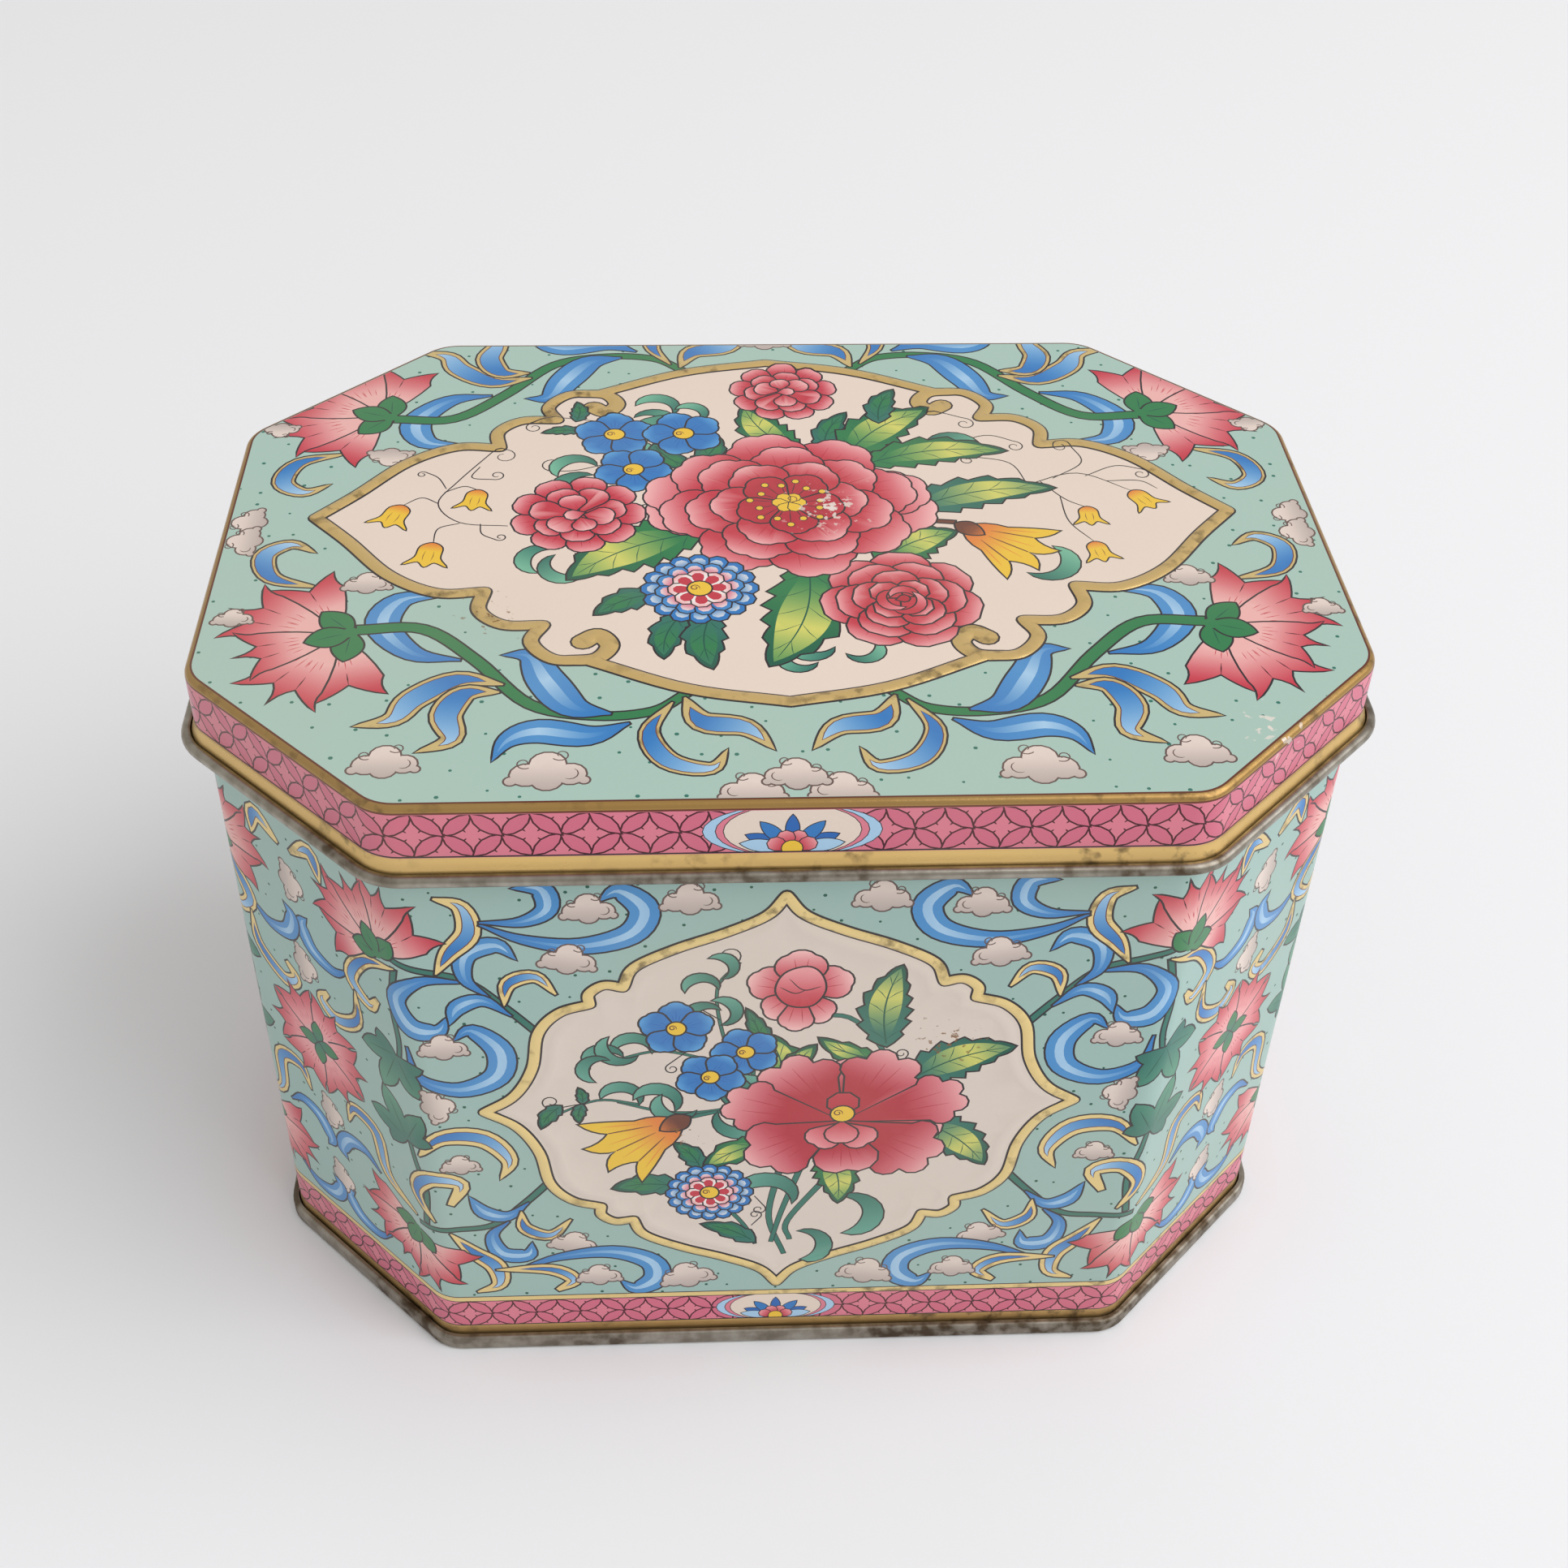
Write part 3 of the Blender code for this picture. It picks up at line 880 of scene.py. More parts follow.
class Skin:
    """Gathers one piece's points, normals, faces and paint, in millimetres."""

    def __init__(self):
        self.points = []
        self.normals = []
        self.faces = []
        self.paint = []
        self.count = 0

    def add(self, points, normals, faces, paint):
        self.points.append(points)
        self.normals.append(normals)
        self.faces += [[self.count + i for i in face] for face in faces]
        self.paint.append(paint)
        self.count += len(points)

    def rings(self, section, tones):
        """A sweep of a section's face round the octagon, with the outward side on its left.

        tones has the paint of each step of the section, as (colour, metal), or one for all.
        """
        if len(tones) == 1:
            tones = tones * (len(section) - 1)
        points = []
        normals = []
        for place, normal in section:
            ring, facing = octagon(place.real)
            out = np.exp(1j * np.radians(facing)) * normal.real
            points.append(np.stack([ring.real, ring.imag, np.full(len(ring), place.imag)], 1))
            normals.append(np.stack([out.real, out.imag, np.full(len(ring), normal.imag)], 1))
        count = len(points[0])
        faces = []
        paint = []
        for row, (colour, metal) in enumerate(tones):
            low, high = row * count, (row + 1) * count
            for i in range(count):
                after = (i + 1) % count
                faces.append((low + i, high + i, high + after, low + after))
            paint += [(*colour, metal)] * (4 * count)
        self.add(np.concatenate(points), np.concatenate(normals), faces, np.array(paint, float))

    def flat(self, sheet, height):
        """A print laid on a level panel."""
        points, triangles, paint = sheet.cut()
        rise, slope = relief(sheet.ridges, points)
        placed = np.stack([points.real, points.imag, height + rise], 1)
        normals = np.stack([-slope.real, -slope.imag, np.ones(len(points))], 1)
        self.add(placed, normals, triangles.tolist(), paint.reshape(-1, 4))

    def panel(self, u, height, up, tone):
        """A bare level panel inside the octagon."""
        ring, _ = octagon(u)
        points = np.stack([ring.real, ring.imag, np.full(len(ring), height)], 1)
        normals = np.tile([0.0, 0.0, up], (len(ring), 1))
        face = list(range(len(ring)))[:: int(up)]
        self.add(points, normals, [face], np.array([(*tone[0], tone[1])] * len(ring), float))

    def wrapped(self, sheet, u):
        """A print wrapped round the wall."""
        points, triangles, paint = sheet.cut()
        ring, facing = octagon(u)
        lengths = np.abs(np.diff(np.append(ring, ring[0])))
        along = np.concatenate([[0], np.cumsum(lengths)])
        around = np.mod(points.real, along[-1])
        flat = np.interp(around, along, np.append(ring, ring[0]))
        turn = np.interp(around, along, np.append(facing, facing[0] + 360))
        rise, slope = relief(sheet.ridges, points)
        out = np.exp(1j * np.radians(turn))
        flat = flat + out * rise
        level = out - 1j * out * slope.real
        placed = np.stack([flat.real, flat.imag, points.imag], 1)
        normals = np.stack([level.real, level.imag, -slope.imag], 1)
        self.add(placed, normals, triangles.tolist(), paint.reshape(-1, 4))

    def made(self, name):
        """The welded mesh object, in metres."""
        points = np.concatenate(self.points)
        normals = np.concatenate(self.normals)
        _, first, same = np.unique(
            np.round(points + 1.37e-5, 4), axis=0, return_index=True, return_inverse=True)
        same = same.ravel()
        faces = [[int(same[i]) for i in face] for face in self.faces]
        whole = [len(set(face)) == len(face) for face in faces]
        corners = np.concatenate([face for face, kept in zip(self.faces, whole) if kept])
        kept_corners = np.repeat(whole, [len(face) for face in faces])
        faces = [face for face, kept in zip(faces, whole) if kept]
        mesh = bpy.data.meshes.new(name)
        mesh.from_pydata((points[first] * MM).tolist(), [], faces)
        mesh.shade_smooth()
        paint = np.concatenate(self.paint)[kept_corners]
        paint[:, :3] = linear(paint[:, :3])
        layer = mesh.color_attributes.new("paint", "FLOAT_COLOR", "CORNER")
        layer.data.foreach_set("color", paint.ravel())
        facing = normals[corners]
        facing /= np.linalg.norm(facing, axis=1, keepdims=True)
        mesh.normals_split_custom_set(facing.tolist())
        piece = bpy.data.objects.new(name, mesh)
        bpy.context.scene.collection.objects.link(piece)
        return piece


def linear(colour):
    share = np.asarray(colour, float) / 255
    return np.where(share <= 0.04045, share / 12.92, ((share + 0.055) / 1.055) ** 2.4)


def relief(ridges, points):
    """How high each point of a print stands on its raised lines, and the slope there.

    A ridge is (path, half width, foot, height): rounded for its half width, then falling to the
    ground over its foot.
    """
    rise = np.zeros(len(points))
    slope = np.zeros(len(points), complex)
    for kind in sorted({ridge[1:] for ridge in ridges}):
        half, foot, height = kind
        samples = []
        for path in (ridge[0] for ridge in ridges if ridge[1:] == kind):
            share = np.linspace(0, len(path) - 1, 6 * len(path) - 5)
            samples.append(np.interp(share, np.arange(len(path)), path))
        samples = np.concatenate(samples)
        tree = KDTree(len(samples))
        for i, sample in enumerate(samples):
            tree.insert((sample.real, sample.imag, 0), i)
        tree.balance()
        steepest = 2 * height / (half + foot)
        for i, point in enumerate(points):
            place, _, distance = tree.find((point.real, point.imag, 0))
            if distance > half + foot:
                continue
            away = point - complex(place[0], place[1])
            away = away / abs(away) if abs(away) > 0.05 else 0j
            if distance < half:
                fall = steepest * distance * distance / half / 2
                slope[i] -= steepest * distance / half * away
            else:
                part = (half + foot - distance) / foot
                fall = height - steepest * part * part * foot / 2
                slope[i] -= steepest * part * away
            rise[i] += height - fall
    return rise, slope


def wall_print(u, low, high, cut, ground):
    """An empty print round the wall, cut open at the ring point numbered cut, and its length."""
    ring, _ = octagon(u)
    steps = np.abs(np.diff(np.append(ring, ring[0])))
    along = np.concatenate([[0], np.cumsum(steps)])
    stops = np.concatenate([along[cut:-1] - along[-1], along[: cut + 1]])
    edge = np.concatenate([stops + 1j * low, stops[::-1] + 1j * high])
    inset = 0.06
    left, right = stops[0], stops[-1]
    bottom, top = 1j * (low + inset), 1j * (high - inset)
    window = np.array([left + bottom, right + bottom, right + top, left + top])
    sheet = Print(edge, window, ground)
    sheet.folds += [np.array([stop + 1j * low, stop + 1j * high]) for stop in stops[1:-1]]
    return sheet, float(along[-1])


def diaper(pen, start, length, count, low, high):
    """A band of linked circles: pointed petals from the middle to its edges, with two ticks each."""
    pitch = length / count
    for k in range(count + 1):
        node = complex(start + k * pitch, (low + high) / 2)
        for chord in (complex(pitch, high - low) / 2, complex(pitch, low - high) / 2):
            for tip in (node + chord, node - chord):
                petal = np.concatenate([bowed(node, tip, 0.2), bowed(tip, node, 0.2)])
                pen.fill(petal, PINK_DEEP, 0.25, MAROON)
                across = 0.2j * (tip - node)
                for hand in (-1, 1):
                    root = (node + tip) / 2 + hand * across
                    pen.stroke(root + hand * across * np.array([0.0, 0.36, 0.62]), 0.24, MAROON)


def medallion(pen):
    """The oval in the middle of the pink band, half a flower in it, about 22 mm wide."""
    tall = 3.7
    for reach, tone in ((11.2, BLUE_PALE), (9.6, PINK), (8.6, CREAM)):
        oval = np.array([complex(reach * p.real, tall * 1.15 * p.imag) for p in circle(0, 1.0, 28)])
        pen.fill(np.clip(oval.real, -reach, reach) + 1j * np.clip(oval.imag, -tall, tall), tone, 0.12)
    for angle, length, tone in (
        (22, 6.3, BLUE_DEEP), (158, 6.3, BLUE_DEEP), (48, 6.0, BLUE), (132, 6.0, BLUE), (90, 5.6, BLUE_DEEP),
        (8, 6.6, BLUE_PALE), (172, 6.6, BLUE_PALE),
    ):
        pen.at(-3.0j, length, angle).fill(blade_outline(1.0, 0.3, 0, 0.6), tone, 0.14)
    for angle in (70, 110, 28, 152):
        pen.at(-3.3j, 1, angle).fill(petal_outline(3.4, 2.4, 1), (CORAL, BLUSH, 1.2, 3.4), 0.15)
    pen.fill(circle(-3.0j, 1.3, 14), YELLOW, 0.15)


def lid_skirt():
    sheet, length = wall_print(0.0, FLARE_TOP, TOP - LID_EDGE_RADIUS, MIDDLE_OF_BACK, PINK)
    pen = Pen(sheet)
    low, high = FLARE_TOP + 0.35, TOP - LID_EDGE_RADIUS - 0.05
    diaper(pen, -length / 2, length, 66, low, high)
    for k in (-1, 0, 1):
        medallion(pen.at(complex(k * length / 2 + SKIRT_SHIFT, (low + high) / 2)))
    band(pen, length, FLARE_TOP - 0.3, FLARE_TOP + 0.3, INK)
    return sheet


BODY_MIDDLE = 55.0
BODY_BAND = 0.72
CHAMFER_MIDDLE = 73.5
BODY_SCALLOPS = (
    (41.8, 37.4 - 3.4j, 34.6 - 9j, 33.4 - 16j, 30.4 - 20j, 26.2 - 21.6j),
    (26.2 - 21.6j, 26.2 - 23.6j, 24.2 - 25.2j, 21.6 - 24.8j),
    (21.6 - 24.8j, 20 - 28.5j, 14.5 - 31.8j, 8 - 34.6j, 2.6 - 37.6j, -41.2j),
)


def body_vines(pen):
    """The scrolls between a cartouche and a chamfer's middle, above its tip and below."""
    stem(pen, (32 + 14.2j, 37.3 + 21j, 42.3 + 26.4j, 48.5 + 28.5j, 53 + 30j), 0.9, GREEN_SEA)
    stem(pen, (52 + 28j, 53.4 + 20j, 53 + 13j, 54 + 7j), 0.8, GREEN_SEA)
    stem(pen, (32.5 - 14.4j, 37.3 - 20.4j, 42.3 - 25.4j, 48 - 26.4j, 54 - 27j), 0.9, GREEN_SEA)
    stem(pen, (52.6 - 26j, 51.8 - 18j, 53.2 - 12j, 54.4 - 5j), 0.8, GREEN_SEA)
    for knots, width in (
        ((42.6 + 26.2j, 48.6 + 26.4j, 52.4 + 22.4j, 50.8 + 17.6j, 47 + 16.8j, 45.4 + 19.6j), 3.6),
        ((51.6 + 13j, 50.4 + 7.4j, 45 + 4.8j, 39.6 + 7.4j, 38.8 + 12.6j, 42.4 + 16.8j, 45 + 14.8j), 3.8),
        ((39.6 + 23.4j, 42.4 + 26.8j, 42 + 31.4j, 38 + 33j, 35.4 + 30.2j), 3.0),
        ((36.8 + 19.6j, 40.4 + 22.6j, 43.8 + 21.4j, 45.2 + 18j), 2.6),
        ((36.8 - 20.4j, 40 - 23.4j, 43.4 - 22.4j, 45.4 - 18.6j), 2.6),
        ((40 - 24.8j, 42.6 - 28j, 41.4 - 32.4j, 37.6 - 32.8j, 36.8 - 29.8j), 3.0),
        ((62.8 + 19.8j, 66.4 + 17.6j, 70.8 + 18.8j, 72.4 + 22.6j, 71 + 24.6j), 3.0),
        ((62.8 - 23j, 66 - 20.6j, 70 - 21.4j, 72.2 - 25j, 71.2 - 27j), 3.0),
        ((62.6 - 38.2j, 66 - 40.6j, 70.4 - 39.8j, 72.4 - 36.6j, 71 - 34.8j), 3.0),
    ):
        scroll(pen, knots, width)
    for knots, width, end in (
        ((46.2 + 27.8j, 44.2 + 31.6j, 41.4 + 35.4j, 42 + 40j, 45.4 + 41.6j), 3.2, 0.1),
        ((37.6 + 21.6j, 36.8 + 25.8j, 33.2 + 27j, 30.6 + 23.6j), 2.4, 0.1),
        ((52 + 28j, 58.5 + 25.2j, 62.2 + 19.6j, 58.8 + 16.4j, 56.6 + 18.8j), 2.8, 0.3),
        ((61.8 + 17j, 62.4 + 10.6j, 67.4 + 7j, 70.6 + 9j, 68.8 + 11.4j), 2.8, 0.3),
        ((66 + 34.6j, 67.6 + 39.2j, 72.2 + 36.4j), 3.0, 0.2),
        ((52.2 - 10.4j, 48.5 - 5.6j, 42.4 - 5.8j, 39 - 10.6j, 40.6 - 15j), 3.6, 0.0),
        ((51 - 25j, 54 - 19.6j, 51 - 15j, 46.4 - 16j, 48.2 - 20.6j), 3.2, 0.3),
        ((38 - 22.4j, 37.6 - 26.4j, 34 - 28.2j, 30.8 - 24.6j), 2.4, 0.1),
        ((48.8 - 27.4j, 45.6 - 32j, 42.6 - 35.6j, 42.4 - 40j, 45.8 - 41.8j), 3.2, 0.1),
        ((69 - 16.2j, 67.2 - 12j, 62.2 - 13.4j, 60.8 - 21.6j, 54.8 - 26j), 3.0, 0.1),
    ):
        gilded(pen, knots, width, 0.5, end=end)
    ivy_leaf(pen.at(54.2 + 9.6j, 9.0, -66))
    ivy_leaf(pen.at(54.4 - 8.4j, 9.0, 66))
    lotus(pen.at(56 + 30.6j, 12.4, 62))
    lotus(pen.at(55.8 - 31j, 12.0, -66))
    for place, size, angle in (
        (46.4 + 13.4j, 3.6, 0), (48.4 + 1.2j, 3.6, 80), (46 - 11.6j, 3.0, 0), (30.6 - 30.4j, 3.8, 15),
    ):
        cloud(pen.at(place, size, angle))


def body_corners(pen):
    """What fills the corners between a cartouche's shoulders and the bands."""
    for knots, width in (
        ((39.8 + 36.8j, 34.4 + 34j, 27 + 32.6j, 20.4 + 34.6j, 18.4 + 39j, 21.6 + 42.4j, 24.4 + 40.6j), 3.9),
        ((39.8 + 37.2j, 34.4 + 37.2j, 31 + 39.4j, 31.6 + 43j, 35.4 + 43.2j), 3.0),
        ((40 - 36.8j, 33 - 33.6j, 25 - 32.6j, 19.2 - 35.2j, 18.4 - 39.4j, 21.6 - 41.8j, 24 - 39.6j), 3.9),
    ):
        scroll(pen, knots, width, peak=0.66)
    gilded(pen, (42.6 - 36.4j, 34.4 - 36.6j, 31 - 39.4j, 33.6 - 41.8j), 2.6, 0.4, end=0.3)
    for place, size, angle in (
        (28.6 + 30j, 4.0, 10), (25.6 + 39.2j, 3.8, 0), (12.4 + 40.6j, 4.0, 0),
        (27 - 38.4j, 3.6, 0), (13.6 - 39j, 4.4, -10),
    ):
        cloud(pen.at(place, size, angle))


def body_bouquet(pen):
    """The flowers in the body's cartouche, about its middle."""
    for knots, width in (
        ((2 + 18j, 9 + 18j, 14 + 11j, 14.6 + 4j), 0.7), ((0 - 14j, -1.4 - 25j, 1 - 34j), 0.9),
        ((7 - 16j, 1.4 - 26j, 1.8 - 30.5j), 0.9), ((3 - 14j, 0.4 - 24j, -1 - 31j), 0.8),
        ((-8 - 22j, -5 - 27j, -3.4 - 31.4j), 0.6), ((-2 + 2j, -9 - 0.6j, -16 - 0.8j, -23 + 1.6j), 0.5),
        ((-5 + 6j, -8 + 14j, -9 + 24j, -6 + 29j), 0.4), ((-10 + 10j, -17 + 12j, -24 + 10j), 0.4),
        ((-20 + 1j, -26 + 2j, -33 - 1.6j), 0.35), ((-4 + 8j, -4 + 2j, -1 - 2j), 0.5),
        ((-13 - 2j, -8 - 1j, -3 - 3j), 0.6),
    ):
        stem(pen, knots, width, GREEN_SEA, 0.12)
    for knots, hook, hand in (
        ((-8.6 + 25j, -6 + 29.6j), 1.6, 1), ((-8.6 + 18j, -11 + 20j), 1.0, -1),
        ((-13 + 12j, -16 + 9j), 1.0, 1), ((-28 + 1.4j, -32 + 0.4j), 1.5, -1),
        ((15 + 6j, 17.4 + 10j), 1.0, 1), ((-4 - 27j, -2.6 - 25j), 1.0, 1),
        ((-3.6 - 20j, -2 - 22.6j), 1.1, -1),
    ):
        tendril(pen, knots, hook, hand)
    for place, angle, size, flip in (
        (-8.8 + 24j, 90, 4.6, False), (-8.2 + 26j, 20, 4.4, False), (-8.6 + 20j, 130, 5.0, False),
        (-8.4 + 17j, 10, 5.0, False), (-18 + 11.6j, 80, 5.4, False), (-22 + 11j, 110, 5.2, False),
        (-20 + 11j, 230, 5.6, True), (-24 + 10.4j, 150, 5.0, False), (-20 + 1j, 70, 5.6, False),
        (-15 - 0.6j, 60, 6.4, False), (-12 - 0.6j, 240, 6.0, True), (-6 - 0.4j, 150, 6.6, True),
        (-9 - 1j, 250, 7.0, False), (-5 + 1j, 60, 6.0, False),
        (2 - 22j, 70, 8.5, False), (9 - 20.4j, 10, 9.0, True), (3 - 28.6j, 10, 7.0, True),
    ):
        comma(pen.at(place, size, angle, flip), (GREEN_SEA, (104, 168, 150)))
    for place, tip, width, tone in (
        (14.4 + 12j, 15.8 + 28j, 0.46, TURNING), (13.4 + 9.4j, 5 + 14j, 0.4, FRESH),
        (17.6 + 4.6j, 32.4 + 11.6j, 0.5, TURNING), (0 + 5j, -2.4 + 15j, 0.6, FRESH),
        (1 + 5j, 4.6 + 12.6j, 0.5, FRESH), (-3 + 8j, -5 + 20j, 0.3, DARK_LEAF),
        (-14.6 - 17.4j, -24.4 - 17.6j, 0.5, DARK_LEAF), (-11.4 - 13.4j, -15.2 - 7.6j, 0.5, DARK_LEAF),
        (-2 - 8j, -11 - 13.4j, 0.5, FRESH), (20 - 4j, 30 - 13.8j, 0.55, TURNING),
        (6.4 - 10j, 8.8 - 22j, 0.55, FRESH), (-3.4 - 31j, -11.4 - 26.4j, 0.4, DARK_LEAF),
        (-31 + 1j, -34 - 3.6j, 0.5, DARK_LEAF), (-28 + 1.4j, -28.4 + 4.6j, 0.5, DARK_LEAF),
        (-28 + 1.2j, -28.6 - 2.6j, 0.5, DARK_LEAF),
    ):
        leaf_to(pen, place, tip, width, 0.08, tone, 6 if abs(tip - place) > 12 else 3)
    for place, size, turn in ((-14.6 + 16.4j, 5.2, 0), (-5.1 + 11.4j, 4.8, 20), (-10 + 6.4j, 4.9, 40)):
        bluet(pen.at(place, size, turn))
    lily(pen.at(-14 - 2.6j, 12.5, 214))
    daisy(pen.at(-10.2 - 19j, 6.4))
    open_peony(pen.at(8.8 - 3.6j, 16.2))
    bud(pen.at(2.2 + 23.4j, 7.8))


def body_side(pen):
    """The middle of a side, between two chamfers' scrolls."""
    for way in (-1, 1):
        for rise in (-1, 1):
            knots = [complex(way * x, rise * y) for x, y in ((5.6, 15.8), (3.4, 11.6), (1.2, 6))]
            stem(pen, knots, 0.9, GREEN_SEA)
    starflower(pen.at(0, 9.6))
    for way in (1, -1):
        lotus(pen.at(27j * way, 10.0, 90 * way))
    for way in (-1, 1):
        for rise in (15, -15):
            cloud(pen.at(complex(way * 9, rise), 3.4, 10 * way))
    for rise in (41, -41):
        cloud(pen.at(1j * rise, 4.2))


def body_print():
    low, high = HOOK_LIFT, TOP - SHEET - GAP - TOP_CURL_RADIUS
    sheet, length = wall_print(-BODY_INSET, low, high, SIDE_SEAM, TEAL_BODY)
    wide = Pen(sheet)
    rng = random.Random(11)
    for place in sprinkled(rng, 2300, complex(0.625 * length, 50)):
        wide.fill(circle(place + BODY_MIDDLE * 1j, rng.uniform(0.2, 0.3), 6), GREEN_DEEP)
    for half_turn in (-1, 0, 1):
        pen = wide.at(complex(half_turn * length / 2 + BODY_SHIFT, BODY_MIDDLE))
        for mirrored in (False, True):
            own = pen.at(0, 1, 180 if mirrored else 0, mirrored)
            body_vines(own)
            body_corners(own)
            for rise in (29.8, 13.8, -18, -33.4):
                cloud(own.at(complex(CHAMFER_MIDDLE, rise), 3.8, 90))
            body_vines(own.at(2 * CHAMFER_MIDDLE, 1, 180, True))
            starflower(own.at(CHAMFER_MIDDLE - 2.4j, 10.8))
            body_side(own.at(length / 4))
        cartouche(quartered(pen, 0), BODY_SCALLOPS, CREAM_BODY, BODY_BAND, GOLD_PALE, step=0.12)
        body_bouquet(pen)
    bands(wide, length)
    ends = sheet.shapes[0].real
    for seam, inward in ((ends.min(), 1), (ends.max(), -1)):
        for half, tone, metal in ((STRIP_HALF + 0.2, INK, 0.0), (STRIP_HALF, SILVER, 0.86)):
            edge = seam + inward * half
            wide.fill(np.array([seam, edge, edge + TOP * 1j, seam + TOP * 1j]), tone, metal=metal)
        reach = STRIP_HALF + STRIP_FOOT
        sheet.folds.append(seam + inward * reach + 1j * np.array([low + 0.1, high - 0.1]))
        spine = seam + 1j * np.array([low + reach + 0.3, high - reach - 0.3])
        sheet.ridges.append((spine, STRIP_HALF, STRIP_FOOT, STRIP_RISE))
    return sheet


FOOT_GOLD = ((206, 168, 108), 0.2, 0.75)


def band(pen, length, low, high, tone, line=0.0, metal=0.0):
    """A plain band all the way round."""
    ends = 1.1 * length
    corners = [-ends + 1j * low, ends + 1j * low, ends + 1j * high, -ends + 1j * high]
    pen.fill(np.array(corners), tone, line, metal=metal)


def bands(pen, length):
    """The bands round the body's foot."""
    band(pen, length, 0, BAND_GOLD_TOP, GOLD_PALE, 0.2, GOLD_INK)
    band(pen, length, 0, BAND_PINK_TOP, PINK, 0.16)
    diaper(pen, pen.sheet.window.real.min(), length, 70, BAND_LOW, BAND_HIGH)
    for k in (-1, 0, 1):
        medallion(pen.at(k * length / 2 + BODY_SHIFT + 7.7j, 0.82))
    band(pen, length, 0, FOOT_GOLD_TOP, *FOOT_GOLD)


# Paint of the parts without a print, as (colour, alpha)
GILT = ((226, 190, 122), 0.76)
RIM = ((178, 142, 84), 0.78)
INSIDE = ((232, 226, 210), 0.36)
BARE = (TIN, 1.0)
BRIGHT = (SILVER, 1.0)
DARK = (BROWN, 0.4)


def make_lid():
    half = SHEET / 2
    roll = ROLL_RADIUS - half
    path = bend(-LID_EDGE_RADIUS, TOP - LID_EDGE_RADIUS, LID_EDGE_RADIUS - half, 90, 0)
    split = len(path)
    path.append((complex(-half, FLARE_TOP), 1 + 0j))
    path += eased(complex(-half, FLARE_TOP), complex(ROLL_OUT - roll, ROLL_HEIGHT))
    path += bend(ROLL_OUT, ROLL_HEIGHT, roll, 180, 180 + ROLL_SWEEP)
    skin = Skin()
    outer = side_of(path, 1)
    skin.flat(lid_panel(), TOP)
    skin.rings(outer[:split], [DARK, RIM, RIM, RIM, RIM, DARK])
    skin.wrapped(lid_skirt(), 0.0)
    skin.rings(outer[split:], [GILT] * FLARE_STEPS + [BARE] * ROLL_STEPS)
    inner = side_of(path, -1)[::-1]
    skin.rings([outer[-1], inner[0]], [BARE])
    skin.rings(inner, [BRIGHT] * ROLL_STEPS + [INSIDE] * (len(inner) - 1 - ROLL_STEPS))
    skin.panel(-LID_EDGE_RADIUS, TOP - SHEET, -1, INSIDE)
    return skin.made("lid")


def make_body():
    half = SHEET / 2
    wall = -BODY_INSET - half
    curl_z = TOP - SHEET - GAP - TOP_CURL_RADIUS
    path = bend(-BODY_INSET - TOP_CURL_RADIUS, curl_z, TOP_CURL_RADIUS - half, 300, 0)
    split = len(path)
    path += bend(wall + HOOK_RADIUS, HOOK_LIFT, HOOK_RADIUS, 180, 360)
    path.append((complex(wall + 2 * HOOK_RADIUS, HOOK_TOP), -1 + 0j))
    skin = Skin()
    outer = side_of(path, 1)
    inner = side_of(path, -1)[::-1]
    skin.rings(outer[:split], [BRIGHT])
    skin.wrapped(body_print(), -BODY_INSET)
    skin.rings(outer[split:], [BARE])
    skin.rings([outer[-1], inner[0]], [BARE])
    skin.rings(inner, [INSIDE])
    skin.rings([inner[-1], outer[0]], [BARE])
    return skin.made("wall")


def make_base():
    half = SHEET / 2
    seam = SEAM_RADIUS
    inner_u = -BODY_INSET - SHEET - GAP - half
    outer_u = SEAM_OUT - BODY_INSET - half
    top = SEAM_HEIGHT - half
    path = bend(inner_u - PANEL_RADIUS, PANEL_HEIGHT - half - PANEL_RADIUS, PANEL_RADIUS, 90, 0)
    path += bend(inner_u + seam, half + seam, seam, 180, 270)
    path += bend(outer_u - seam, half + seam, seam, 270, 360)
    path += bend(outer_u - seam, top - seam, seam, 0, 90)
    path.append((complex(outer_u - seam - SEAM_LIP, top), -1j))
    skin = Skin()
    upper = side_of(path, 1)
    under = side_of(path, -1)[::-1]
    skin.panel(inner_u - PANEL_RADIUS, PANEL_HEIGHT, 1, INSIDE)
    skin.rings(upper, [INSIDE])
    skin.rings([upper[-1], under[0]], [BRIGHT])
    skin.rings(under, [BRIGHT])
    skin.panel(inner_u - PANEL_RADIUS, PANEL_HEIGHT - SHEET, -1, BARE)
    return skin.made("base")


# Finishes ---------------------------------------------------------------------------------------


